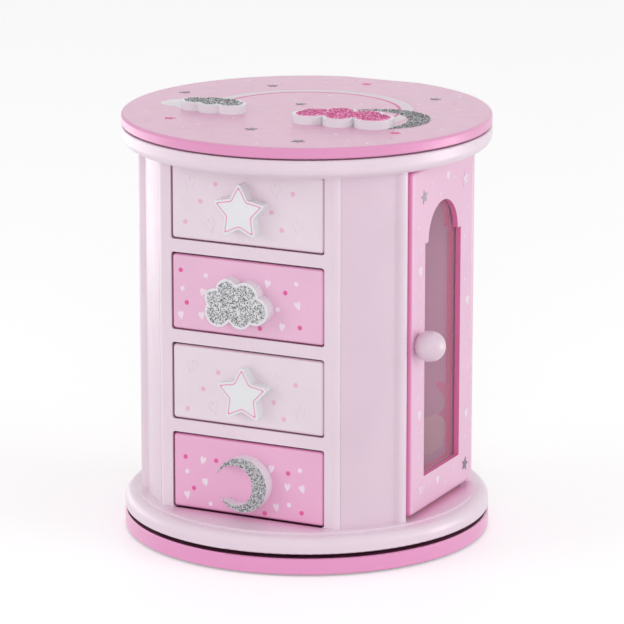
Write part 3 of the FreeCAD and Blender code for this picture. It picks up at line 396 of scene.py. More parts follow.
def pane(name):
    finish = Finish(name)
    haze = finish.remap(finish.noise(30.0, 3.0), 0.3, 0.7, 0.05, 0.1)
    finish.rough(haze)
    return finish.set(base_color=ink(240, 194, 218), alpha=0.16, ior=1.49).material


def looking_glass(name):
    finish = Finish(name)
    finish.rough(finish.remap(finish.noise(14.0, 2.0), 0.3, 0.7, 0.015, 0.05))
    return finish.set(base_color=(0.9, 0.9, 0.91, 1.0), metallic=1.0).material


ROSE = ink(240, 208, 225)
REAR_PINK = ink(242, 206, 227)
# The jambs' inner face, lightened as painted light for the dim space behind the windows.
ROSE_INSIDE = ink(240, 198, 222)
JAMB_TURN = (0.6 * MM, 1.2 * MM)


def jamb_paint(name):
    """Pale outside at the front, door pink at the rear, lightened rose (painted light) towards the necklace
    space.
    """
    finish = Finish(name)
    pale = drifting(finish, PALE)
    pink = drifting(finish, REAR_PINK, 0.97, 1.02)
    beside = finish.part(finish.coords.outputs["Object"], "Y")
    outside = finish.mix(finish.maths("GREATER_THAN", beside, 0.0), pale, pink)
    across = finish.maths("ABSOLUTE", beside)
    inner_y = span("right_door_frame", 1)[1]
    inside = finish.remap(across, inner_y + JAMB_TURN[0], inner_y + JAMB_TURN[1], 1.0, 0.0)
    finish.colour(finish.mix(inside, outside, ROSE_INSIDE))
    return rolled(finish).material


LININGS = {
    "rose": velour("rose_velour", ROSE),
    "felt": velour("grey_pink_felt", ink(176, 140, 160), 1500.0),
    "velvet": velour("ring_velvet", ink(204, 104, 152)),
    "board": painted("inner_board_paint", ink(226, 188, 208), gloss=0.5),
    "jamb": jamb_paint("jamb_paint"),
    "steel": metal("plain_steel", (0.60, 0.60, 0.62, 1.0), 0.28),
    "brass": metal("bright_brass", (0.79, 0.58, 0.27, 1.0), 0.24),
    "nylon": plastic("natural_nylon", ink(236, 234, 226), 0.45),
    "rubber": plastic("soft_rubber", ink(222, 216, 220), 0.55),
    "pane": pane("tinted_pane"),
    "mirror": looking_glass("looking_glass"),
}
print("linings and metals:", ", ".join(LININGS))

# %% Paint and line the CAD nodes
DRESS = {
    PAINTS["pale_board"]: "cornice back_panel",
    PAINTS["frame"]: "front_frame",
    PAINTS["plinth"]: "plinth",
    PAINTS["panel"]: "corner_panels",
    PAINTS["base"]: "base_disc",
    PAINTS["lid"]: "lid_board",
    PAINTS["pale_front"]: "drawer_1_front drawer_3_front",
    PAINTS["pink_front"]: "drawer_2_front",
    PAINTS["rose_front"]: "drawer_4_front",
    PAINTS["white"]: "drawer_1_knob drawer_2_knob drawer_3_knob drawer_4_knob "
                     "lid_silver_cloud lid_pink_cloud",
    PAINTS["knob"]: "right_door_knob left_door_knob",
    PAINTS["right_door"]: "right_door_frame",
    PAINTS["left_door"]: "left_door_frame",
    LININGS["rose"]: "side_walls top_deck well_front_wall stage_board",
    LININGS["jamb"]: "door_jambs",
    LININGS["board"]: "drawer_shelves stage_cleats drawer_1_box drawer_2_box drawer_3_box drawer_4_box",
    LININGS["steel"]: "lower_race upper_race race_balls swivel_rivet music_comb "
                      "right_door_pins left_door_pins ballerina_collar door_magnets",
    LININGS["brass"]: "necklace_hooks lid_hinge_fixed_leaves lid_hinge_moving_leaves lid_hinge_pins "
                      "movement_frame spring_barrel music_cylinder winding_key",
    LININGS["nylon"]: "governor crown_spindle",
    LININGS["rubber"]: "lid_bumpers",
    LININGS["pane"]: "right_window_pane left_window_pane",
    LININGS["mirror"]: "lid_mirror",
}
for material, names in DRESS.items():
    for node_name in names.split():
        mesh = frame["nodes"][node_name].data
        mesh.materials.clear()
        mesh.materials.append(material)
print("dressed", sum(len(names.split()) for names in DRESS.values()), "nodes")


# %% [markdown]
# Everything printed or glued on starts as a flat outline: a star, a heart, a cloud, a crescent, a ring.
# An outline becomes a thin closed slab, and the slab is laid on its board. Real ink is thinner than the
# three hundredths of a millimetre used here, but no eye can tell, and a slab casts no odd shadows.

# %% Outlines
def star_outline(tip, notch, points=5):
    shape = []
    for i in range(2 * points):
        radius = tip if i % 2 == 0 else notch
        turn = math.pi / 2 + math.pi * i / points
        shape.append(Vector((radius * math.cos(turn), radius * math.sin(turn))))
    return shape


def rounded(shape, radius, steps=5):
    """Swaps each corner for a small arc-like curve that starts and ends radius away from it."""
    result = []
    count = len(shape)
    for i, corner in enumerate(shape):
        before = (shape[i - 1] - corner).normalized() * radius + corner
        after = (shape[(i + 1) % count] - corner).normalized() * radius + corner
        for k in range(steps + 1):
            t = k / steps
            result.append(before * (1 - t) ** 2 + corner * (2 * t * (1 - t)) + after * t ** 2)
    return result


HEART_TALL = 1.6


def heart_outline(size, steps=36):
    shape = []
    for i in range(steps):
        t = 2 * math.pi * i / steps
        x = 16 * math.sin(t) ** 3
        y = 13 * math.cos(t) - 5 * math.cos(2 * t) - 2 * math.cos(3 * t) - math.cos(4 * t)
        shape.append(Vector((-x, HEART_TALL * (y + 2))) * (size / 32))
    return shape


def dot_outline(radius, steps=20):
    return [Vector((radius, 0)) @ Matrix.Rotation(-2 * math.pi * i / steps, 2) for i in range(steps)]


def cloud_outline(discs, inset, steps=220):
    """The outer edge of overlapping discs, seen from their middle."""
    shape = []
    for i in range(steps):
        turn = 2 * math.pi * i / steps
        way = Vector((math.cos(turn), math.sin(turn)))
        reach = 0.0
        for x, y, radius in discs:
            centre = Vector((x, y)) * MM
            along = centre.dot(way)
            room = (radius * MM - inset) ** 2 - (centre.dot(centre) - along ** 2)
            if room > 0:
                reach = max(reach, along + math.sqrt(room))
        shape.append(way * reach)
    return shape


def crescent_outline(radius, bite, offset, turn, inset=0.0, steps=40):
    """A disc with a bite out of it; the bite's centre lies offset away, in the direction of turn."""
    out_r = radius - inset
    in_r = bite + inset
    along = (offset ** 2 + out_r ** 2 - in_r ** 2) / (2 * offset)
    outer_half = math.acos(along / out_r)
    inner_half = math.acos((along - offset) / in_r)
    shape = []
    for i in range(steps + 1):
        angle = outer_half + (2 * math.pi - 2 * outer_half) * i / steps
        shape.append(Vector((out_r * math.cos(angle), out_r * math.sin(angle))))
    for i in range(1, steps):
        angle = 2 * math.pi - inner_half - (2 * math.pi - 2 * inner_half) * i / steps
        shape.append(Vector((offset + in_r * math.cos(angle), in_r * math.sin(angle))))
    spin = Matrix.Rotation(turn, 2)
    return [spin @ point for point in shape]


def bow_outline(radius, width, start, end, steps=40):
    """A bent band with round ends, from one angle in degrees to another."""
    outer = []
    inner = []
    for i in range(steps + 1):
        half = width / 2 * math.sqrt(1 - (2 * i / steps - 1) ** 6)
        angle = math.radians(start + (end - start) * i / steps)
        way = Vector((math.cos(angle), math.sin(angle)))
        outer.append(way * (radius + half))
        inner.append(way * (radius - half))
    return outer + inner[1:-1][::-1]


def signed_area(shape):
    return sum(a.cross(b) for a, b in zip(shape, shape[1:] + shape[:1])) / 2


print("a heart has", len(heart_outline(1.0)), "points and a dot", len(dot_outline(1.0)))


# %% Slabs and rings from outlines
def slab_into(shell, shape, low, high, at=Vector((0, 0))):
    """Adds a closed slab between two heights to a bmesh."""
    if signed_area(shape) < 0:
        shape = shape[::-1]
    floor = [shell.verts.new((p.x + at.x, p.y + at.y, low)) for p in shape]
    roof = [shell.verts.new((p.x + at.x, p.y + at.y, high)) for p in shape]
    shell.faces.new(roof)
    shell.faces.new(floor[::-1])
    for i in range(len(shape)):
        k = (i + 1) % len(shape)
        shell.faces.new((floor[i], floor[k], roof[k], roof[i]))


def band_into(shell, outer, inner, low, high):
    """Adds a closed band between two outlines of as many points each."""
    rows = []
    for shape, height in ((outer, low), (outer, high), (inner, high), (inner, low)):
        rows.append([shell.verts.new((p.x, p.y, height)) for p in shape])
    count = len(outer)
    for r in range(4):
        first, second = rows[r], rows[(r + 1) % 4]
        for i in range(count):
            k = (i + 1) % count
            shell.faces.new((first[i], first[k], second[k], second[i]))


def piece(name, shell, material, body=None, place=None, smooth=False):
    """Turns a bmesh into an object at the origin, with its place in its mesh."""
    bmesh.ops.recalc_face_normals(shell, faces=shell.faces[:])
    mesh = bpy.data.meshes.new(name)
    shell.to_mesh(mesh)
    shell.free()
    if place:
        mesh.transform(place)
    mesh.materials.append(material)
    mesh.polygons.foreach_set("use_smooth", [smooth] * len(mesh.polygons))
    thing = bpy.data.objects.new(name, mesh)
    bpy.context.scene.collection.objects.link(thing)
    if body:
        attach(thing, body)
    return thing


FACE_TURNS = {"front": (90, 0, 0), "back": (90, 0, 180), "right": (90, 0, 90), "left": (90, 0, -90),
              "up": (0, 0, 0)}


def facing(way, x=0.0, y=0.0, z=0.0):
    """Where a slab drawn flat goes: way is front, right, left, back or up, and x, y, z its place."""
    turn = Euler([math.radians(angle) for angle in FACE_TURNS[way]])
    return Matrix.Translation((x, y, z)) @ turn.to_matrix().to_4x4()


print("a slab can face", ", ".join(FACE_TURNS))


# %% [markdown]
# Prints repeat, so Geometry Nodes stamp them. The tree takes a cloud of points, each with its own size and
# turn, and puts one stamp on every point. It ends in Realize Instances, so the result is plain mesh.

# %% A tree that stamps prints
def new_tree(name, inputs):
    tree = bpy.data.node_groups.new(name, "GeometryNodeTree")
    sockets = {}
    for label, kind in inputs:
        sockets[label] = tree.interface.new_socket(name=label, in_out="INPUT", socket_type=kind)
    tree.interface.new_socket(name="Geometry", in_out="OUTPUT", socket_type="NodeSocketGeometry")
    source = tree.nodes.new("NodeGroupInput")
    sink = tree.nodes.new("NodeGroupOutput")
    return tree, {label: socket.identifier for label, socket in sockets.items()}, source, sink


def attribute_node(tree, name):
    node = tree.nodes.new("GeometryNodeInputNamedAttribute")
    node.data_type = "FLOAT"
    node.inputs["Name"].default_value = name
    return node.outputs["Attribute"]


def finish_tree(tree, source, sink, geometry):
    realize = tree.nodes.new("GeometryNodeRealizeInstances")
    paint = tree.nodes.new("GeometryNodeSetMaterial")
    tree.links.new(geometry, realize.inputs["Geometry"])
    tree.links.new(realize.outputs["Geometry"], paint.inputs["Geometry"])
    tree.links.new(source.outputs["Finish"], paint.inputs["Material"])
    tree.links.new(paint.outputs["Geometry"], sink.inputs["Geometry"])


STAMP, STAMP_IN, stamp_source, stamp_sink = new_tree("stamp_prints", (
    ("Points", "NodeSocketGeometry"), ("Stamp", "NodeSocketObject"), ("Finish", "NodeSocketMaterial")))
stamp_info = STAMP.nodes.new("GeometryNodeObjectInfo")
stamp_turn = STAMP.nodes.new("ShaderNodeCombineXYZ")
stamp_put = STAMP.nodes.new("GeometryNodeInstanceOnPoints")
STAMP.links.new(stamp_source.outputs["Stamp"], stamp_info.inputs["Object"])
STAMP.links.new(stamp_source.outputs["Points"], stamp_put.inputs["Points"])
STAMP.links.new(stamp_info.outputs["Geometry"], stamp_put.inputs["Instance"])
STAMP.links.new(attribute_node(STAMP, "turn"), stamp_turn.inputs["Z"])
STAMP.links.new(stamp_turn.outputs["Vector"], stamp_put.inputs["Rotation"])
STAMP.links.new(attribute_node(STAMP, "size"), stamp_put.inputs["Scale"])
finish_tree(STAMP, stamp_source, stamp_sink, stamp_put.outputs["Instances"])


def baked(name, thing, tree, values):
    """Runs a tree on an object and hands back its result as a plain mesh."""
    modifier = thing.modifiers.new("nodes", "NODES")
    modifier.node_group = tree
    for identifier, value in values.items():
        modifier[identifier] = value
    bpy.context.view_layer.update()
    graph = bpy.context.evaluated_depsgraph_get()
    mesh = bpy.data.meshes.new_from_object(thing.evaluated_get(graph))
    bpy.data.objects.remove(thing)
    mesh.name = name
    return mesh


def shown(name, mesh, body, place=None):
    if place:
        mesh.transform(place)
    thing = bpy.data.objects.new(name, mesh)
    bpy.context.scene.collection.objects.link(thing)
    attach(thing, body)
    return thing


def stamped(name, stamp, places, material, body, place):
    """Prints one stamp at each (x, y, size, turn) of places, given in millimetres and degrees."""
    mesh = bpy.data.meshes.new(name + "_points")
    mesh.from_pydata([(x * MM, y * MM, 0.0) for x, y, size, turn in places], [], [])
    for label, column, unit in (("size", 2, 1.0), ("turn", 3, math.pi / 180)):
        attribute = mesh.attributes.new(label, "FLOAT", "POINT")
        attribute.data.foreach_set("value", [row[column] * unit for row in places])
    points = bpy.data.objects.new(name + "_points", mesh)
    bpy.context.scene.collection.objects.link(points)
    values = {STAMP_IN["Stamp"]: stamp, STAMP_IN["Finish"]: material}
    return shown(name, baked(name, points, STAMP, values), body, place)


print("stamping tree:", len(STAMP.nodes), "nodes")


# %% The stamps and their inks
def stamp(name, outlines):
    """A stamp is drawn one millimetre in size, and its points say how large it prints."""
    shell = bmesh.new()
    if len(outlines) == 1:
        slab_into(shell, outlines[0], 0.0, 1.0)
    else:
        band_into(shell, outlines[0], outlines[1], 0.0, 1.0)
    for vert in shell.verts:
        vert.co.z *= FILM
    return piece(name, shell, PAINTS["white"])


DOT = stamp("dot_stamp", [dot_outline(0.5 * MM)])
HEART = stamp("heart_stamp", [heart_outline(1.0 * MM)])
HEART_LINE = stamp("heart_line_stamp", [heart_outline(1.0 * MM), heart_outline(0.8 * MM)])
STAR = stamp("star_stamp", [star_outline(0.5 * MM, 0.22 * MM)])
STAMPS = (DOT, HEART, HEART_LINE, STAR)


def print_ink(name, colour, rough=0.42):
    finish = Finish(name)
    screen = finish.remap(finish.noise(1800.0, 2.0), 0.35, 0.65, 0.0, 1.0)
    finish.colour(finish.mix(screen, shifted(colour, 0.94), shifted(colour, 1.04)))
    return finish.set(roughness=rough).material


INKS = {
    "pink": print_ink("pink_ink", ink(232, 96, 168)),
    "soft_pink": print_ink("soft_pink_ink", ink(240, 188, 213)),
    "white": print_ink("white_ink", ink(248, 240, 246)),
    "milky": print_ink("milky_ink", ink(245, 228, 240)),
    "faint": print_ink("faint_white_ink", ink(240, 226, 235)),
    "door_pale": print_ink("door_pale_ink", ink(241, 216, 233)),
    "rose_line": print_ink("rose_line_ink", ink(236, 152, 192)),
    # Salmon and candy ink the jamb prints behind the windows, lightened as painted light for that dim space.
    "salmon": print_ink("salmon_ink", ink(255, 226, 222)),
    "candy": print_ink("candy_ink", ink(255, 128, 186)),
    "silver": print_ink("silver_ink", ink(170, 166, 176), 0.3),
    "dark": print_ink("dark_silver_ink", ink(124, 116, 130), 0.3),
}
print("stamps:", len(STAMPS), "inks:", len(INKS))


# %% [markdown]
# The drawer fronts carry dots and hearts. The pale drawers have soft pink dots and faint outlined hearts,
# the pink ones deep pink dots, white dots and white hearts. Places are millimetres right of and above the
# middle of each front.

# %% Drawer prints
PALE_DOTS = {
    1: ((-18.5, 11.0), (-27.5, 1.0), (-36.5, -11.0), (14.5, -1.0), (27.0, 10.0), (20.5, -10.0)),
    3: ((-17.5, 7.5), (-26.5, -2.5), (-36.0, -14.5), (15.5, -5.0), (28.5, 6.0), (21.5, -13.5)),
}
PALE_HEARTS = {
    1: ((-34.5, 10.0), (-22.0, -11.5), (17.0, 10.5), (29.5, -7.5)),
    3: ((-33.5, 9.0), (-20.5, -12.5), (17.5, 7.0), (30.5, -9.5)),
}
PINK_DOTS = {
    2: ((-39.5, 12.0), (-36.0, -5.5), (22.5, 6.0), (31.0, -12.0), (7.5, -15.0)),
    4: ((-37.5, 8.0), (-19.0, 8.0), (-32.5, -9.0), (10.0, -17.5), (24.0, 6.5), (32.0, -14.5)),
}
WHITE_DOTS = {
    2: ((-24.5, 10.5), (-38.5, 2.0), (29.0, 11.5), (18.0, -3.5)),
    4: ((-36.5, 0.0), (-22.5, -16.5), (31.0, 9.0), (24.5, -11.0)),
}
WHITE_HEARTS = {
    2: ((-26.5, 1.0), (-27.0, -12.0), (-39.5, -13.0), (12.0, 9.5), (30.0, -0.5), (20.5, -13.0)),
    4: ((-27.0, 7.0), (-25.5, -5.0), (-36.5, -13.5), (14.0, 7.5), (32.5, -1.5), (23.5, -1.5), (17.0, -13.5)),
}
DOT_D = 2.6
HEART_W = 3.5
OUTLINE_HEART_W = 6.0
HEART_TILTS = (-18, 14, 8, -10, 22, -6, 12)


def drawer_prints(label, stamp_thing, places, size, material, tilts=(0,)):
    for number, spots in places.items():
        drawer = "drawer_%d" % number
        rows = [(x, y, size, tilts[i % len(tilts)]) for i, (x, y) in enumerate(spots)]
        place = facing("front", y=FRONT_Y, z=middle(drawer + "_front", 2))
        stamped(drawer + "_" + label, stamp_thing, rows, material, drawer, place)


drawer_prints("pink_dots", DOT, PALE_DOTS, DOT_D, INKS["soft_pink"])
drawer_prints("outline_hearts", HEART_LINE, PALE_HEARTS, OUTLINE_HEART_W, INKS["faint"], HEART_TILTS)
drawer_prints("deep_dots", DOT, PINK_DOTS, DOT_D, INKS["pink"])
drawer_prints("white_dots", DOT, WHITE_DOTS, DOT_D, INKS["milky"])
drawer_prints("white_hearts", HEART, WHITE_HEARTS, HEART_W, INKS["milky"], HEART_TILTS)
print("prints on the drawer fronts done")


# %% [markdown]
# Glitter is a bed of glue with hundreds of small hexagonal foil flakes in it, each tilted its own way.
# Geometry Nodes scatter them over the top of a slab with a fixed seed. The shader gives each flake its own
# tone at random by its island, partly painted glint, so the bed sparkles from every side.

# %% A tree that coats a slab with glitter
FLAKES, FLAKES_IN, flake_source, flake_sink = new_tree("glitter_coat", (
    ("Slab", "NodeSocketGeometry"), ("Density", "NodeSocketFloat"), ("Flake", "NodeSocketFloat"),
    ("Tilt", "NodeSocketFloat"), ("Seed", "NodeSocketInt"), ("Finish", "NodeSocketMaterial")))
FLAKE_LIFT = 0.08 * MM


def flake_tree():
    tree = FLAKES
    link = tree.links.new
    normal = tree.nodes.new("GeometryNodeInputNormal")
    split = tree.nodes.new("ShaderNodeSeparateXYZ")
    top = tree.nodes.new("FunctionNodeCompare")
    top.data_type = "FLOAT"
    top.operation = "GREATER_THAN"
    scatter = tree.nodes.new("GeometryNodeDistributePointsOnFaces")
    flake = tree.nodes.new("GeometryNodeMeshCircle")
    flake.fill_type = "NGON"
    flake.inputs["Vertices"].default_value = 6
    tilt = tree.nodes.new("FunctionNodeRandomValue")
    tilt.data_type = "FLOAT_VECTOR"
    spread = tree.nodes.new("ShaderNodeCombineXYZ")
    turn = tree.nodes.new("ShaderNodeVectorMath")
    turn.operation = "MULTIPLY"
    put = tree.nodes.new("GeometryNodeInstanceOnPoints")
    lift = tree.nodes.new("GeometryNodeTranslateInstances")
    both = tree.nodes.new("GeometryNodeJoinGeometry")
    link(normal.outputs["Normal"], split.inputs["Vector"])
    link(split.outputs["Z"], top.inputs["A"])
    top.inputs["B"].default_value = 0.9
    link(flake_source.outputs["Slab"], scatter.inputs["Mesh"])
    link(top.outputs["Result"], scatter.inputs["Selection"])
    link(flake_source.outputs["Density"], scatter.inputs["Density"])
    link(flake_source.outputs["Seed"], scatter.inputs["Seed"])
    link(flake_source.outputs["Flake"], flake.inputs["Radius"])
    tilt.inputs["Min"].default_value = (-1.0, -1.0, -1.0)
    tilt.inputs["Max"].default_value = (1.0, 1.0, 1.0)
    link(flake_source.outputs["Seed"], tilt.inputs["Seed"])
    for axis in "XY":
        link(flake_source.outputs["Tilt"], spread.inputs[axis])
    spread.inputs["Z"].default_value = math.pi
    link(tilt.outputs["Value"], turn.inputs[0])
    link(spread.outputs["Vector"], turn.inputs[1])
    link(scatter.outputs["Points"], put.inputs["Points"])
    link(flake.outputs["Mesh"], put.inputs["Instance"])
    link(turn.outputs["Vector"], put.inputs["Rotation"])
    link(put.outputs["Instances"], lift.inputs["Instances"])
    lift.inputs["Translation"].default_value = (0.0, 0.0, FLAKE_LIFT)
    link(flake_source.outputs["Slab"], both.inputs["Geometry"])
    link(lift.outputs["Instances"], both.inputs["Geometry"])
    finish_tree(tree, flake_source, flake_sink, both.outputs["Geometry"])


flake_tree()
print("glitter tree:", len(FLAKES.nodes), "nodes")


# %% Glitter in two colours
def glitter(name, dark, mid, bright):
    finish = Finish(name)
    island = finish.nodes.new("ShaderNodeNewGeometry")
    ramp = finish.nodes.new("ShaderNodeValToRGB")
    # The random tone from dark to bright flakes is partly painted glint.
    ramp.color_ramp.elements[0].color = dark
    ramp.color_ramp.elements[1].color = bright
    ramp.color_ramp.elements.new(0.45).color = mid
    finish.join(island.outputs["Random Per Island"], ramp.inputs["Fac"])
    finish.colour(ramp.outputs["Color"])
    finish.rough(finish.remap(finish.noise(900.0, 2.0), 0.3, 0.7, 0.22, 0.42))
    return finish.set(metallic=0.35).material


SILVER_GLITTER = glitter("silver_glitter", ink(66, 66, 70), ink(132, 132, 137), ink(226, 226, 229))
PINK_GLITTER = glitter("pink_glitter", ink(196, 40, 130), ink(232, 84, 166), ink(255, 168, 214))
FLAKE_R = 0.34 * MM
FLAKE_DENSITY = 2.6e6
FLAKE_TILT = 0.55


def glittered(name, shape, thick, material, body, place, seed):
    shell = bmesh.new()
    slab_into(shell, shape, 0.0, thick)
    slab = piece(name + "_slab", shell, material)
    values = {FLAKES_IN["Density"]: FLAKE_DENSITY, FLAKES_IN["Flake"]: FLAKE_R, FLAKES_IN["Tilt"]: FLAKE_TILT,
              FLAKES_IN["Seed"]: seed, FLAKES_IN["Finish"]: material}
    mesh = baked(name, slab, FLAKES, values)
    print(name, "has", len(mesh.polygons), "faces")
    return shown(name, mesh, body, place)


print("flakes on a square centimetre:", round(FLAKE_DENSITY * 1e-4))


# %% [markdown]
# Four ornaments pull the drawers open: two white stars with a pink line, a cloud with a glitter face inside
# a white rim, and a crescent that glitters all over its face. Their blocks come from the frame. The faces
# repeat the same discs and radii, drawn a little smaller.

# %% Faces of the drawer knobs
KNOB_DISCS = ((-12.3, 1.9, 5.4), (-4.8, 7.0, 6.2), (6.2, 5.0, 7.2), (11.8, -2.6, 7.7),
              (3.0, -6.3, 7.0), (-10.0, -5.7, 7.6), (0.0, 0.0, 10.5))
GLITTER_T = 0.25 * MM
CLOUD_RIM = 1.3 * MM
STAR_TIP = 16.6 * MM
STAR_NOTCH = 8.7 * MM
STAR_TIP_ROUND = 1.3 * MM
STAR_LINE_IN = 1.05 * MM
STAR_LINE_W = 0.55 * MM
STAR_ROUND = 1.7 * MM
MOON_R = 15.0 * MM
MOON_BITE_R = 11.0 * MM
MOON_BITE_OFF = 4.3 * MM
MOON_TURN = math.radians(186.5)
MOON_RIM = 0.12 * MM


def knob_face(number, half_size):
    """The middle of a knob's face, found from the lowest corner of its block and half its size."""
    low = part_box("drawer_%d_knob" % number)[0]
    return facing("front", x=low[0] + half_size[0], y=low[1], z=low[2] + half_size[1])


def star_at(number):
    low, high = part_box("drawer_%d_knob" % number)
    rise = STAR_TIP - STAR_NOTCH * math.cos(math.radians(36))
    half = math.atan2(STAR_NOTCH * math.sin(math.radians(36)), rise)
    centre_z = high[2] - (STAR_TIP - STAR_TIP_ROUND * (1 / math.sin(half) - 1))
    return facing("front", x=(low[0] + high[0]) / 2, y=low[1], z=centre_z)


def star_line(inset):
    shrink = 1 - inset / (STAR_NOTCH * 0.9)
    return rounded(star_outline(STAR_TIP * shrink, STAR_NOTCH * shrink), STAR_ROUND * shrink)


for number in (1, 3):
    drawer = "drawer_%d" % number
    line_shell = bmesh.new()
    band_into(line_shell, star_line(STAR_LINE_IN), star_line(STAR_LINE_IN + STAR_LINE_W), 0.0, FILM)
    piece(drawer + "_star_line", line_shell, INKS["rose_line"], drawer, star_at(number))
cloud_left = max(radius - x for x, y, radius in KNOB_DISCS) * MM
cloud_low = max(radius - y for x, y, radius in KNOB_DISCS) * MM
cloud_shape = cloud_outline(KNOB_DISCS, CLOUD_RIM)
cloud_place = knob_face(2, (cloud_left, cloud_low))
glittered("drawer_2_cloud_glitter", cloud_shape, GLITTER_T, SILVER_GLITTER, "drawer_2", cloud_place, 11)
moon_low, moon_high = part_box("drawer_4_knob")
moon_shape = crescent_outline(MOON_R, MOON_BITE_R, MOON_BITE_OFF, MOON_TURN, MOON_RIM)
moon_place = facing("front", x=moon_high[0] - MOON_R, y=moon_low[1], z=(moon_low[2] + moon_high[2]) / 2)
glittered("drawer_4_moon_glitter", moon_shape, GLITTER_T, SILVER_GLITTER, "drawer_4", moon_place, 12)


# %% [markdown]
# The lid is the busiest surface. Two thick clouds are glued on, one with silver and one with pink glitter.
# Flat prints lie round them: a white cloud, a silver crescent, a rainbow of three rings over the rear half,
# small stars, and a fine scatter of dots.

# %% Lid ornaments
SILVER_DISCS = ((-11.0, -1.0, 8.0), (-3.0, 3.0, 8.0), (6.0, 2.5, 8.5), (11.0, -1.5, 8.0), (0.0, -3.0, 8.0))
PINK_DISCS = ((-17.0, -6.5, 9.3), (0.5, -7.0, 8.8), (18.5, -2.0, 11.0), (11.0, 5.0, 9.3),
              (-5.0, 6.0, 9.0), (-16.5, -0.5, 8.5), (4.0, 0.0, 9.0))
LID_RIM = 2.0 * MM


def lid_cloud_place(node, discs):
    low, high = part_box(node)
    left = max(radius - x for x, y, radius in discs) * MM
    front = max(radius - y for x, y, radius in discs) * MM
    return facing("up", x=low[0] + left, y=low[1] + front, z=high[2])


glittered("lid_silver_glitter", cloud_outline(SILVER_DISCS, LID_RIM), GLITTER_T, SILVER_GLITTER, "lid",
          lid_cloud_place("lid_silver_cloud", SILVER_DISCS), 21)
glittered("lid_pink_glitter", cloud_outline(PINK_DISCS, LID_RIM), GLITTER_T, PINK_GLITTER, "lid",
          lid_cloud_place("lid_pink_cloud", PINK_DISCS), 22)

# %% Lid prints
LID_FACE = facing("up", z=LID_TOP)
FLAT_CLOUD = ((-72.0, -12.0, 9.5), (-66.0, -4.0, 9.0), (-62.0, -16.0, 9.0))
FLAT_CLOUD_AT = Vector((-67.0, -11.0)) * MM
LID_MOON_R = 27.0 * MM
LID_MOON_AT = (46.0 * MM, -5.0 * MM)
LID_MOON_BITE_R = 25.0 * MM
LID_MOON_BITE = Vector((-8.5, -6.0)) * MM
RAINBOW = (("rainbow_deep", 49.4, 51.0, "pink"), ("rainbow_pale", 51.0, 57.6, "faint"),
           ("rainbow_soft", 57.6, 59.2, "soft_pink"))
RAINBOW_FROM = -14.0
RAINBOW_TO = 186.0
PINK_STARS = ((-56.0, -52.0, 6.5, 10), (-2.0, 80.0, 6.0, 25), (68.5, -35.0, 6.5, -12))
DARK_STARS = ((-4.0, -59.0, 7.0, 20), (32.0, -76.0, 7.5, -15), (50.0, 57.5, 6.5, 8), (-47.0, 53.0, 6.5, 30),
              (-82.0, 15.0, 6.5, -20), (-10.0, 13.0, 6.5, 12))


def ring_part(radius, start, end, steps=72):
    angles = [math.radians(start + (end - start) * i / steps) for i in range(steps + 1)]
    return [Vector((radius * math.cos(angle), radius * math.sin(angle))) for angle in angles]


for label, inner_r, outer_r, colour in RAINBOW:
    ring_shell = bmesh.new()
    outer_arc = ring_part(outer_r * MM, RAINBOW_FROM, RAINBOW_TO)
    inner_arc = ring_part(inner_r * MM, RAINBOW_TO, RAINBOW_FROM)
    slab_into(ring_shell, outer_arc + inner_arc, 0.0, FILM)
    piece("lid_" + label, ring_shell, INKS[colour], "lid", LID_FACE)
flat_shell = bmesh.new()
flat_discs = [(x - FLAT_CLOUD_AT.x / MM, y - FLAT_CLOUD_AT.y / MM, r) for x, y, r in FLAT_CLOUD]
slab_into(flat_shell, cloud_outline(flat_discs, 0.0), 0.0, 2 * FILM, FLAT_CLOUD_AT)
piece("lid_flat_cloud", flat_shell, INKS["white"], "lid", LID_FACE)
bite_turn = math.atan2(LID_MOON_BITE.y, LID_MOON_BITE.x)
lid_moon = crescent_outline(LID_MOON_R, LID_MOON_BITE_R, LID_MOON_BITE.length, bite_turn)
glittered("lid_moon_glitter", lid_moon, 2 * FILM, SILVER_GLITTER, "lid",
          facing("up", x=LID_MOON_AT[0], y=LID_MOON_AT[1], z=LID_TOP), 23)
stamped("lid_pink_stars", STAR, PINK_STARS, INKS["pink"], "lid", LID_FACE)
stamped("lid_dark_stars", STAR, DARK_STARS, INKS["dark"], "lid", LID_FACE)


# %% Fine dots scattered over the lid
DOT_ROOM = 1.5


def over_a_print(x, y):
    """True where a dot would lie on the rainbow, the flat cloud or a star."""
    stars = PINK_STARS + DARK_STARS
    discs = FLAT_CLOUD + tuple((star_x, star_y, 0.6 * wide) for star_x, star_y, wide, turn in stars)
    on_ring = RAINBOW[0][1] - DOT_ROOM < math.hypot(x, y) < RAINBOW[-1][2] + DOT_ROOM
    return on_ring or any(math.hypot(x - cx, y - cy) < r + DOT_ROOM for cx, cy, r in discs)


def scattered_dots(name, count, ring, size, material, step):
    """Dots on a sunflower pattern, each nudged a little; step starts the pattern elsewhere.
    The flat prints share one plane, so a dot that would lie on one is left out."""
    rows = []
    for i in range(count):
        share = (i + 0.5) / count
        radius = math.sqrt(ring[0] ** 2 + share * (ring[1] ** 2 - ring[0] ** 2))
        turn = math.radians((i + step) * 137.508 + 9 * math.sin(5.1 * i + step))
        x, y = radius * math.cos(turn), radius * math.sin(turn)
        if not over_a_print(x, y):
            rows.append((x, y, size, 0))
    return stamped(name, DOT, rows, material, "lid", LID_FACE)


scattered_dots("lid_white_dots", 40, (20.0, 94.0), 1.7, INKS["white"], 0.0)
scattered_dots("lid_rose_dots", 18, (30.0, 92.0), 1.0, INKS["pink"], 0.4)
print("lid prints done")


# %% [markdown]
# Both doors carry small white hearts and dots round the window, a silver star above and a dark one below.
# One pattern serves both: the left door is the right one turned half round, as the box itself turns.

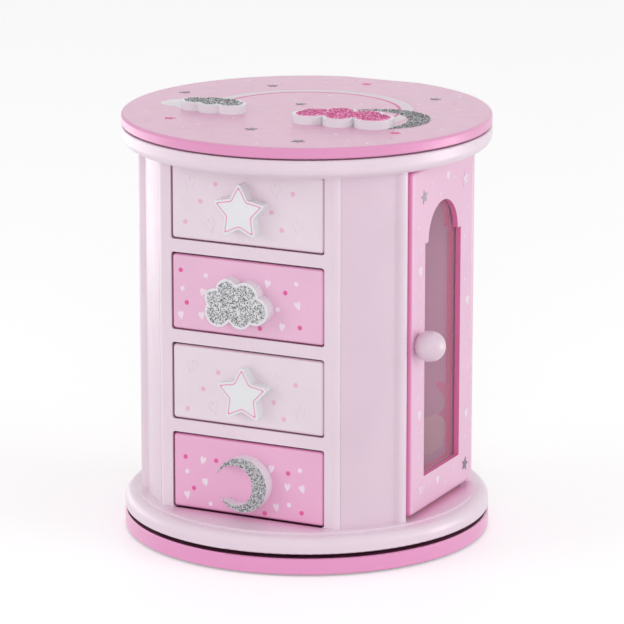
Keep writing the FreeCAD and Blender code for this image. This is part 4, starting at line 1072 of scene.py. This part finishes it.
# %% Door prints
DOOR_HEARTS = ((5.6, 201.9), (-28.9, 156.4), (32.7, 127.2), (-29.4, 77.5), (32.7, 63.3), (-5.1, 35.4))
DOOR_DOTS = ((-14.3, 202.5), (14.9, 199.7), (-3.4, 193.8), (33.0, 179.8), (-31.4, 181.1), (-27.5, 168.6),
             (28.4, 163.8), (34.3, 151.5), (-29.8, 143.7), (29.0, 140.0), (-27.9, 129.3), (34.7, 114.8),
             (31.0, 103.3), (34.2, 88.8), (-26.3, 99.8), (-30.7, 88.1), (-26.8, 68.4), (31.8, 50.6),
             (15.8, 38.2), (-30.2, 55.4), (5.4, 32.1), (-15.1, 37.1))
DOOR_PALE_STARS = ((28.7, 196.0, 10.0, 6), (-27.5, 36.1, 9.0, -10))
DOOR_SILVER_STAR = (-24.8, 196.3, 8.0, 12)
DOOR_DARK_STAR = (31.5, 35.1, 8.0, -14)
DOOR_HEART_W = 4.2
DOOR_DOT_D = 1.9
tilts = [tilt / 3 for tilt in HEART_TILTS]
hearts = [(y, z, DOOR_HEART_W, tilts[i % len(tilts)]) for i, (y, z) in enumerate(DOOR_HEARTS)]
dots = [(y, z, DOOR_DOT_D, 0) for y, z in DOOR_DOTS]
for side, way in (("right", 1), ("left", -1)):
    door_place = facing(side, x=way * DOOR_X)
    door_body = side + "_door"
    door_prints = (("_hearts", HEART, hearts, "milky"), ("_dots", DOT, dots, "door_pale"),
                   ("_pale_stars", STAR, DOOR_PALE_STARS, "door_pale"),
                   ("_silver_star", STAR, [DOOR_SILVER_STAR], "silver"),
                   ("_dark_star", STAR, [DOOR_DARK_STAR], "dark"))
    for label, stamp_thing, rows, colour in door_prints:
        stamped(door_body + label, stamp_thing, rows, INKS[colour], door_body, door_place)
print("each door has", len(hearts), "hearts and", len(dots), "dots")

# %% [markdown]
# Through the window one sees the inner face of the rear jamb, with a pink bow and a salmon cloud printed on
# it. They are laid on as the other prints are, and the cloud covers the foot of the bow. The face and both
# prints are lighter than their own colour, as painted light for the dim space behind the window.

# %% Prints on the jambs behind the windows
JAMB_MOON_AT = (58.0, 66.0)
JAMB_MOON_R = 10.0 * MM
JAMB_MOON_W = 6.0 * MM
JAMB_MOON_TURNS = (82.0, -75.0)
JAMB_CLOUD_AT = (57.5, 46.5)
JAMB_CLOUD = ((2.8, 7.0, 5.0), (2.8, 2.0, 5.0), (-1.0, 3.5, 6.5), (1.0, -3.0, 5.5),
              (-3.5, -6.0, 6.0), (-5.5, -0.5, 7.0))
DOOR_GAP = 0.5 * MM
JAMB_IN_Y = span("right_door_frame", 1)[1] + DOOR_GAP
jamb_bow = bow_outline(JAMB_MOON_R, JAMB_MOON_W, *JAMB_MOON_TURNS)
for way in (1, -1):
    jamb_name = "right" if way > 0 else "left"
    moon_shell = bmesh.new()
    bow = [Vector((way * point.x, point.y)) for point in jamb_bow]
    slab_into(moon_shell, bow, 0.0, FILM, Vector((way * JAMB_MOON_AT[0], JAMB_MOON_AT[1])) * MM)
    cloud_shell = bmesh.new()
    cloud_discs = [(way * x, y, r) for x, y, r in JAMB_CLOUD]
    slab_into(cloud_shell, cloud_outline(cloud_discs, 0.0), 0.0, 2 * FILM,
              Vector((way * JAMB_CLOUD_AT[0], JAMB_CLOUD_AT[1])) * MM)
    jamb_place = facing("front", y=JAMB_IN_Y)
    piece(jamb_name + "_jamb_moon", moon_shell, INKS["candy"], "cabinet", jamb_place)
    piece(jamb_name + "_jamb_cloud", cloud_shell, INKS["salmon"], "cabinet", jamb_place)
print("jamb prints at", round(JAMB_IN_Y / MM, 1), "mm from the middle")


# %% [markdown]
# Soft pieces replace their plain solids. Ring rolls are foam fingers in velvet: a flat foot, a round back
# and domed ends. The felt under the base is a cut disc whose edge frays a little.

# %% Ring rolls
ROLL_STEPS = 26
ROLL_SIDES = 20


def roll_into(shell, low, high):
    """One foam roll between two corners: a rounded section that closes in a dome at each end."""
    centre_x = (low[0] + high[0]) / 2
    half_w = (high[0] - low[0]) / 2
    height = high[2] - low[2]
    rows = []
    for i in range(ROLL_STEPS + 1):
        t = -1 + 2 * i / ROLL_STEPS
        swell = (1 - min(abs(t), 0.9995) ** 10) ** 0.35
        slack = 1 - 0.035 * (1 - math.cos(6 * math.pi * t)) / 2
        y = low[1] + (high[1] - low[1]) * (t + 1) / 2
        row = []
        for k in range(ROLL_SIDES):
            turn = 2 * math.pi * k / ROLL_SIDES
            wide = math.copysign(abs(math.cos(turn)) ** 0.7, math.cos(turn))
            tall = math.copysign(abs(math.sin(turn)) ** 0.75, math.sin(turn))
            z = low[2] + height * (0.5 + 0.5 * tall * swell * (slack if tall > 0 else 1.0))
            row.append(shell.verts.new((centre_x + half_w * wide * swell * slack, y, max(z, low[2]))))
        rows.append(row)
    for first, second in zip(rows, rows[1:]):
        for k in range(ROLL_SIDES):
            n = (k + 1) % ROLL_SIDES
            shell.faces.new((first[k], first[n], second[n], second[k]))
    shell.faces.new(rows[0][::-1])
    shell.faces.new(rows[-1])


ROLL_COUNT = 3
ROLL_PITCH = 7.9 * MM
ROLL_W = 7.4 * MM
rolls_low, rolls_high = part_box("ring_rolls")
roll_shell = bmesh.new()
for way in (1, -1):
    for i in range(ROLL_COUNT):
        outer_x = rolls_high[0] - i * ROLL_PITCH
        ends = sorted((way * outer_x, way * (outer_x - ROLL_W)))
        roll_into(roll_shell, (ends[0], rolls_low[1], rolls_low[2]), (ends[1], rolls_high[1], rolls_high[2]))
ring_rolls = piece("velvet_ring_rolls", roll_shell, LININGS["velvet"], "cabinet", smooth=True)
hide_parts("ring_rolls")
print("ring rolls:", 2 * ROLL_COUNT)

# %% Felt under the base
FELT_STEPS = 180
felt_low, felt_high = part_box("felt_pad")
FELT_R = felt_high[0]
felt_shape = []
for i in range(FELT_STEPS):
    turn = 2 * math.pi * i / FELT_STEPS
    fray = 1 - 0.0016 * (math.sin(23 * turn) + math.sin(61 * turn + 1)) ** 2 / 4
    felt_shape.append(Vector((FELT_R * fray * math.cos(turn), FELT_R * fray * math.sin(turn))))
felt_shell = bmesh.new()
slab_into(felt_shell, felt_shape, felt_low[2], felt_high[2])
felt = piece("base_felt", felt_shell, LININGS["felt"], "base")
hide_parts("felt_pad")
print("felt disc", round(2 * FELT_R / MM), "mm across")


# %% [markdown]
# The dancer stands on a bent coil spring, which straightens as the lid opens. A spring is a wire swept along
# a helix round a bent axis.

# %% The dancer's spring
FOLD_AT = joint_place("dancer_fold")
FOLD = math.radians(72.0)
SPRING_RISE = 7.0 * MM
SPRING_R = 1.5 * MM
SPRING_WIRE = 0.28 * MM
SPRING_TURNS = 5
BEND_R = SPRING_RISE / FOLD
TANGENT = BEND_R * math.tan(FOLD / 2)
SPRING_FOOT = FOLD_AT - Vector((0.0, 0.0, TANGENT))
WIRE_SIDES = 8
WIRE_STEPS = 30 * SPRING_TURNS


def spring_point(t):
    bend = FOLD * t
    core = SPRING_FOOT + Vector((0.0, -BEND_R * (1 - math.cos(bend)), BEND_R * math.sin(bend)))
    across = Vector((0.0, -math.cos(bend), -math.sin(bend)))
    wind = 2 * math.pi * SPRING_TURNS * t
    return core + Vector((1, 0, 0)) * (SPRING_R * math.cos(wind)) + across * (SPRING_R * math.sin(wind))


def tube_into(shell, points, radii, sides):
    """A closed tube along points, with one radius each; every ring is square to the way ahead."""
    rows = []
    side = None
    for i, point in enumerate(points):
        way = (points[min(i + 1, len(points) - 1)] - points[max(i - 1, 0)]).normalized()
        if side is None:
            side = way.orthogonal().normalized()
        side = (side - way * side.dot(way)).normalized()
        up = way.cross(side)
        row = []
        for k in range(sides):
            turn = 2 * math.pi * k / sides
            row.append(shell.verts.new(point + (side * math.cos(turn) + up * math.sin(turn)) * radii[i]))
        rows.append(row)
    for first, second in zip(rows, rows[1:]):
        for k in range(sides):
            n = (k + 1) % sides
            shell.faces.new((first[k], first[n], second[n], second[k]))
    shell.faces.new(rows[0][::-1])
    shell.faces.new(rows[-1])


spring_shell = bmesh.new()
wire_points = [spring_point(i / WIRE_STEPS) for i in range(WIRE_STEPS + 1)]
tube_into(spring_shell, wire_points, [SPRING_WIRE] * len(wire_points), WIRE_SIDES)
spring = piece("dancer_spring", spring_shell, LININGS["steel"], smooth=True)
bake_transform(spring)
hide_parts("ballerina_spring")
print("dancer's spring:", SPRING_TURNS, "turns")

# %% [markdown]
# The dancer is drawn upright over the pivot and then folded with the spring. Limbs are tapered tubes, the
# bodice and head are turned profiles pressed a little flat, and the tutu is three wavy moulded layers. At
# this size a doll maker paints the face with a few dots, so small flat balls will do.

# %% The dancer's finishes and tools
FIGURE = {
    "skin": plastic("doll_skin", ink(246, 214, 200), 0.4),
    "tights": plastic("pale_tights", ink(248, 226, 230), 0.42),
    "satin": plastic("pink_satin", ink(234, 130, 176), 0.3),
    "tulle": plastic("tulle_layers", ink(248, 196, 220), 0.5, 1500.0),
    "hair": plastic("brown_hair", ink(110, 72, 52), 0.38, 900.0),
    "eye": plastic("painted_eye", ink(60, 44, 48), 0.3),
    "lip": plastic("painted_lip", ink(206, 96, 110), 0.35),
}
DANCER_PLACE = Matrix.Translation(FOLD_AT) @ Matrix.Rotation(FOLD, 4, "X")
HIP = 21.5
HEAD_UP = 34.9


def local(x, y, z):
    return Vector((x, y, z)) * MM


def curve_points(controls, steps=14):
    """A smooth path through three or more given points."""
    points = []
    spans = len(controls) - 1
    for s in range(spans):
        p0 = controls[max(s - 1, 0)]
        p1, p2 = controls[s], controls[s + 1]
        p3 = controls[min(s + 2, spans)]
        for i in range(steps):
            t = i / steps
            points.append(0.5 * ((2 * p1) + (p2 - p0) * t + (2 * p0 - 5 * p1 + 4 * p2 - p3) * t ** 2
                                 + (3 * p1 - p0 - 3 * p2 + p3) * t ** 3))
    return points + [controls[-1]]


def limb_into(shell, controls, radii):
    points = curve_points([local(*c) for c in controls])
    spans = len(radii) - 1
    sizes = []
    for i in range(len(points)):
        place = i / (len(points) - 1) * spans
        k = min(int(place), spans - 1)
        sizes.append((radii[k] + (radii[k + 1] - radii[k]) * (place - k)) * MM)
    tube_into(shell, points, sizes, 14)


def turned_into(shell, profile, flat, steps=28):
    """A turned body: profile is (radius, height) from its foot to its top, pressed flat front to back."""
    rows = []
    for radius, height in profile:
        row = []
        for k in range(steps):
            turn = 2 * math.pi * k / steps
            x, y = radius * math.cos(turn), flat * radius * math.sin(turn)
            row.append(shell.verts.new(local(x, y, height)))
        rows.append(row)
    for first, second in zip(rows, rows[1:]):
        for k in range(steps):
            n = (k + 1) % steps
            shell.faces.new((first[k], first[n], second[n], second[k]))
    shell.faces.new(rows[0][::-1])
    shell.faces.new(rows[-1])


def ball_into(shell, radius, at, squash=(1.0, 1.0, 1.0)):
    matrix = Matrix.Translation(local(*at)) @ Matrix.Diagonal((*squash, 1.0))
    bmesh.ops.create_uvsphere(shell, u_segments=24, v_segments=16, radius=radius * MM, matrix=matrix)


def dancer_piece(name, finish, build):
    shell = bmesh.new()
    build(shell)
    return piece("dancer_" + name, shell, FIGURE[finish], "dancer", DANCER_PLACE, smooth=True)


print("finishes of the dancer:", ", ".join(FIGURE))


# %% Legs, shoes and bodice
PEG_FOOT = TANGENT / MM + 1.3


def build_legs(shell):
    limb_into(shell, ((0.0, 0.0, PEG_FOOT + 1.0), (0.15, -0.1, PEG_FOOT + 5.5), (0.4, 0.1, PEG_FOOT + 9.0),
                      (0.7, 0.0, HIP)), (0.62, 0.95, 0.85, 1.55))
    limb_into(shell, ((-0.8, 0.0, HIP), (-2.8, -0.3, HIP - 3.2), (-4.5, 0.0, HIP - 6.0)), (1.55, 1.3, 1.0))
    limb_into(shell, ((-4.5, 0.0, HIP - 6.0), (-2.4, 0.0, HIP - 7.4), (-0.1, 0.0, HIP - 8.5)),
              (1.0, 0.9, 0.6))


def build_shoes(shell):
    limb_into(shell, ((0.0, 0.0, PEG_FOOT - 0.4), (0.0, 0.0, PEG_FOOT + 0.9), (0.0, 0.05, PEG_FOOT + 2.0)),
              (0.85, 0.8, 0.72))
    limb_into(shell, ((-1.0, 0.0, HIP - 8.1), (0.0, 0.0, HIP - 8.6), (0.6, 0.0, HIP - 9.2)),
              (0.66, 0.62, 0.4))


def build_bodice(shell):
    turned_into(shell, ((0.4, HIP - 0.6), (2.1, HIP), (2.05, HIP + 1.2), (1.62, HIP + 3.0),
                        (1.75, HIP + 4.4), (2.2, HIP + 6.2), (2.15, HIP + 7.2), (1.5, HIP + 7.9)), 0.78)


dancer_body = dancer_piece("legs", "tights", build_legs)
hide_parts("ballerina")
dancer_piece("shoes", "satin", build_shoes)
dancer_piece("bodice", "satin", build_bodice)
print("legs, shoes and bodice made")


# %% Tutu
TUTU_LAYERS = ((10.0, 0.9), (9.3, 0.35), (8.4, -0.15))
TUTU_WAIST = 1.5
TUTU_THICK = 0.26
TUTU_STEPS = 112
TUTU_RINGS = 9
TUTU_WAVES = 14


def tutu_row(shell, layer, share, lift, reach, rise):
    """One ring of a layer: share runs from waist to hem, and rise is 0 below and the thickness on top."""
    row = []
    for k in range(TUTU_STEPS):
        turn = 2 * math.pi * k / TUTU_STEPS
        wave = math.sin(TUTU_WAVES * turn + layer * 1.3) * 0.42 * share ** 2
        scallop = 1 - 0.035 * share * (1 - abs(math.sin(TUTU_WAVES * turn + layer)))
        radius = (TUTU_WAIST + (reach - TUTU_WAIST) * share) * scallop
        height = HIP + 1.0 + lift * share + wave - 0.5 * (1 - share) * layer + rise
        row.append(shell.verts.new(local(radius * math.cos(turn), radius * math.sin(turn), height)))
    return row


def build_tutu(shell):
    shares = [r / (TUTU_RINGS - 1) for r in range(TUTU_RINGS)]
    for layer, (reach, lift) in enumerate(TUTU_LAYERS):
        rows = [tutu_row(shell, layer, share, lift, reach, TUTU_THICK) for share in shares]
        rows += [tutu_row(shell, layer, share, lift, reach, 0.0) for share in shares[::-1]]
        for i in range(len(rows)):
            first, second = rows[i], rows[(i + 1) % len(rows)]
            for k in range(TUTU_STEPS):
                n = (k + 1) % TUTU_STEPS
                shell.faces.new((first[k], first[n], second[n], second[k]))


dancer_piece("tutu", "tulle", build_tutu)
print("tutu layers:", len(TUTU_LAYERS))


# %% Arms, head and face
def build_skin(shell):
    turned_into(shell, ((1.5, HIP + 7.6), (2.0, HIP + 7.9), (1.7, HIP + 8.5), (0.95, HIP + 9.2),
                        (0.82, HIP + 10.2), (0.85, HIP + 11.4)), 0.8)
    ball_into(shell, 2.55, (0.0, -0.1, HEAD_UP), (0.88, 0.95, 1.06))
    ball_into(shell, 0.34, (0.0, -2.5, HEAD_UP - 0.25), (0.8, 1.0, 1.1))
    for way in (-1, 1):
        limb_into(shell, ((way * 1.9, 0.0, HIP + 7.6), (way * 4.6, -0.3, HIP + 9.6),
                          (way * 5.6, -0.6, HEAD_UP + 0.4), (way * 4.0, -0.9, HEAD_UP + 5.0),
                          (way * 0.9, -1.0, HEAD_UP + 7.4)), (0.75, 0.68, 0.6, 0.5, 0.42))
        ball_into(shell, 0.6, (way * 0.85, -1.0, HEAD_UP + 7.4), (1.2, 0.7, 0.8))


def build_hair(shell):
    ball_into(shell, 2.68, (0.0, 0.35, HEAD_UP + 0.35), (0.9, 0.94, 1.02))
    ball_into(shell, 1.25, (0.0, 1.0, HEAD_UP + 2.9))


def build_eyes(shell):
    for way in (-1, 1):
        ball_into(shell, 0.24, (way * 0.82, -2.32, HEAD_UP + 0.1), (1.2, 0.5, 0.9))
        ball_into(shell, 0.3, (way * 0.85, -2.18, HEAD_UP + 0.75), (1.3, 0.5, 0.25))


def build_lips(shell):
    ball_into(shell, 0.34, (0.0, -2.2, HEAD_UP - 1.15), (1.2, 0.5, 0.42))


dancer_piece("skin", "skin", build_skin)
dancer_piece("hair", "hair", build_hair)
dancer_piece("eyes", "eye", build_eyes)
dancer_piece("lips", "lip", build_lips)
print("the dancer is dressed")

# %% [markdown]
# Small brass screws hold the hinge leaves and the movement. One slotted head is modelled, and the stamping
# tree sets it on each point.

# %% Screws
SCREW_R = 1.2
SCREW_H = 0.45


def screw_stamp():
    shell = bmesh.new()
    slot_half = 0.18
    steps = 12
    for way in (1, -1):
        rows = []
        for share, height in ((1.0, 0.0), (0.94, 0.6), (0.7, 1.0)):
            row = []
            start = math.asin(slot_half)
            for k in range(steps + 1):
                turn = start + (math.pi - 2 * start) * k / steps
                x = math.cos(turn) * share
                y = way * max(math.sin(turn) * share, slot_half)
                row.append(shell.verts.new(Vector((x * SCREW_R, y * SCREW_R, height * SCREW_H)) * MM))
            rows.append(row)
        for first, second in zip(rows, rows[1:]):
            for k in range(steps):
                shell.faces.new((first[k], first[k + 1], second[k + 1], second[k]))
            shell.faces.new((first[0], second[0], second[-1], first[-1]))
        shell.faces.new(rows[-1])
        shell.faces.new(rows[0][::-1])
    return piece("screw_stamp", shell, LININGS["brass"])


SCREW = screw_stamp()
fixed_low, fixed_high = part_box("lid_hinge_fixed_leaves")
moving_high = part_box("lid_hinge_moving_leaves")[1]
LEAF_W = 18.0
LEAF_OUT = 0.8 * MM
SCREW_SPREAD = 6.0
FIXED_SCREW_UP = 3.4
MOVING_SCREW_DOWN = 1.7
leaf_middle = fixed_high[0] / MM - LEAF_W / 2
leaf_xs = [sign * leaf_middle + shift for sign in (-1, 1) for shift in (-SCREW_SPREAD, SCREW_SPREAD)]
leaf_y = fixed_low[1] + LEAF_OUT
fixed_rows = [(-x, FIXED_SCREW_UP, 1.0, 25 * i) for i, x in enumerate(leaf_xs)]
moving_rows = [(-x, -MOVING_SCREW_DOWN, 1.0, 35 * i) for i, x in enumerate(leaf_xs)]
fixed_place = facing("back", y=leaf_y, z=fixed_low[2])
moving_place = facing("back", y=leaf_y, z=moving_high[2])
stamped("fixed_leaf_screws", SCREW, fixed_rows, LININGS["brass"], "cabinet", fixed_place)
stamped("moving_leaf_screws", SCREW, moving_rows, LININGS["brass"], "lid", moving_place)
COMB_SCREW_IN = 2.2
comb_low, comb_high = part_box("music_comb")
comb_x = comb_high[0] / MM - COMB_SCREW_IN
comb_rows = []
for share in (0.2, 0.8):
    comb_y = (comb_low[1] + (comb_high[1] - comb_low[1]) * share) / MM
    comb_rows.append((comb_x, comb_y, 1.0, 40 * share))
stamped("comb_screws", SCREW, comb_rows, LININGS["steel"], "cabinet", facing("up", z=comb_high[2]))
for thing in (*STAMPS, SCREW):
    bpy.data.objects.remove(thing)
print("screws:", len(fixed_rows) + len(moving_rows) + len(comb_rows))

# %% [markdown]
# The stage is a pale floor that is white to the camera and still takes the shadow, under an even white sky.
# The camera, mirrors and panes see that white. What falls on the box comes from a dimmer sky, so that its
# colours don't clip.

# %% Floor and sky
FLOOR_HALF = 9.0
SKY_LIGHT = 0.58
FLOOR_GLOW = 0.33


def camera_share(tree):
    """1 for rays from the camera, off gloss or through glass, and 0 for light that falls on the box."""
    path = tree.nodes.new("ShaderNodeLightPath")
    total = path.outputs["Is Camera Ray"]
    for name in ("Is Glossy Ray", "Is Transmission Ray"):
        node = tree.nodes.new("ShaderNodeMath")
        node.operation = "MAXIMUM"
        tree.links.new(total, node.inputs[0])
        tree.links.new(path.outputs[name], node.inputs[1])
        total = node.outputs["Value"]
    return total


def floor_material():
    material = bpy.data.materials.new("white_floor")
    material.use_nodes = True
    tree = material.node_tree
    shader = tree.nodes["Principled BSDF"]
    shader.inputs["Base Color"].default_value = (0.86, 0.855, 0.86, 1.0)
    shader.inputs["Roughness"].default_value = 0.55
    shader.inputs["Emission Color"].default_value = (1.0, 1.0, 1.0, 1.0)
    glow = tree.nodes.new("ShaderNodeMath")
    glow.operation = "MULTIPLY"
    glow.inputs[1].default_value = FLOOR_GLOW
    tree.links.new(camera_share(tree), glow.inputs[0])
    tree.links.new(glow.outputs["Value"], shader.inputs["Emission Strength"])
    return material


floor_mesh = bpy.data.meshes.new("floor")
floor_corners = [(x * FLOOR_HALF, y * FLOOR_HALF, 0.0) for x, y in ((-1, -1), (1, -1), (1, 1), (-1, 1))]
floor_mesh.from_pydata(floor_corners, [], [(0, 1, 2, 3)])
floor_mesh.materials.append(floor_material())
floor = bpy.data.objects.new("floor", floor_mesh)
bpy.context.scene.collection.objects.link(floor)

world = bpy.data.worlds.new("white_sky")
bpy.context.scene.world = world
world.use_nodes = True
sky = world.node_tree.nodes["Background"]
sky.inputs["Color"].default_value = (1.0, 1.0, 1.0, 1.0)
level = world.node_tree.nodes.new("ShaderNodeMapRange")
level.inputs["To Min"].default_value = SKY_LIGHT
level.inputs["To Max"].default_value = 1.0
world.node_tree.links.new(camera_share(world.node_tree), level.inputs["Value"])
world.node_tree.links.new(level.outputs["Result"], sky.inputs["Strength"])
print("floor", 2 * FLOOR_HALF, "m wide, sky at", SKY_LIGHT)


# %% [markdown]
# One large soft light stands at the front left, another at the right for the door, and a small one beside
# the camera reaches in through the window. None of them mirrors in the lacquer, or the lid would look white
# from low down. Two low cards beside the box do the opposite: only gloss sees them, and they pale the ends
# of the round edges, as a white studio does.

# %% Lamps and cards
CARD_H = 0.2


def soft_lamp(name, place, size, power, target=(0.0, 0.0, 0.12)):
    light = bpy.data.lights.new(name, "AREA")
    light.shape = "DISK"
    light.size = size
    light.energy = power
    lamp = bpy.data.objects.new(name, light)
    lamp.location = place
    lamp.rotation_euler = (Vector(target) - Vector(place)).to_track_quat("-Z", "Y").to_euler()
    lamp.visible_glossy = False
    bpy.context.scene.collection.objects.link(lamp)
    return lamp


soft_lamp("left_light", (-2.0, -1.7, 0.95), 1.8, 16.5)
soft_lamp("right_light", (2.3, 0.1, 0.9), 1.6, 14.0)
soft_lamp("camera_light", (0.95, -2.0, 0.75), 0.9, 8.0)


def glow_card(name, place, width, power):
    """A low bright card beside the box that only its gloss can see."""
    card = soft_lamp(name, place, width, power, (0.0, 0.0, place[2]))
    card.data.shape = "RECTANGLE"
    card.data.size_y = CARD_H
    card.visible_glossy = True
    card.visible_diffuse = False
    card.visible_camera = False
    return card


glow_card("left_card", (-0.55, 0.04, 0.11), 0.6, 0.45)
glow_card("right_card", (0.51, 0.22, 0.11), 0.26, 0.45)
print("lamps and cards:", len(bpy.data.lights))

# %% [markdown]
# The camera stands where the photographer stood: a long lens two metres off, a little above the box, turned
# so that the drawers and the right-hand door both show.

# %% Camera
CAMERA_AWAY = 2.149
CAMERA_UP = math.radians(14.27)
CAMERA_ROUND = math.radians(26.0)
AIM = Vector((0.0, 0.0, 0.1192))
camera_data = bpy.data.cameras.new("camera")
camera_data.lens = 227.2
camera_data.sensor_width = 36.0
camera_data.shift_x = 0.0082
camera_data.clip_end = 100.0
camera = bpy.data.objects.new("camera", camera_data)
level_out = Vector((math.sin(CAMERA_ROUND), -math.cos(CAMERA_ROUND), 0.0))
way_out = level_out * math.cos(CAMERA_UP) + Vector((0.0, 0.0, math.sin(CAMERA_UP)))
camera.location = AIM + way_out * CAMERA_AWAY
camera.rotation_euler = (-way_out).to_track_quat("-Z", "Y").to_euler()
bpy.context.scene.collection.objects.link(camera)
bpy.context.scene.camera = camera
bpy.context.scene.view_settings.view_transform = "Standard"
print("camera", round(CAMERA_AWAY, 2), "m away")
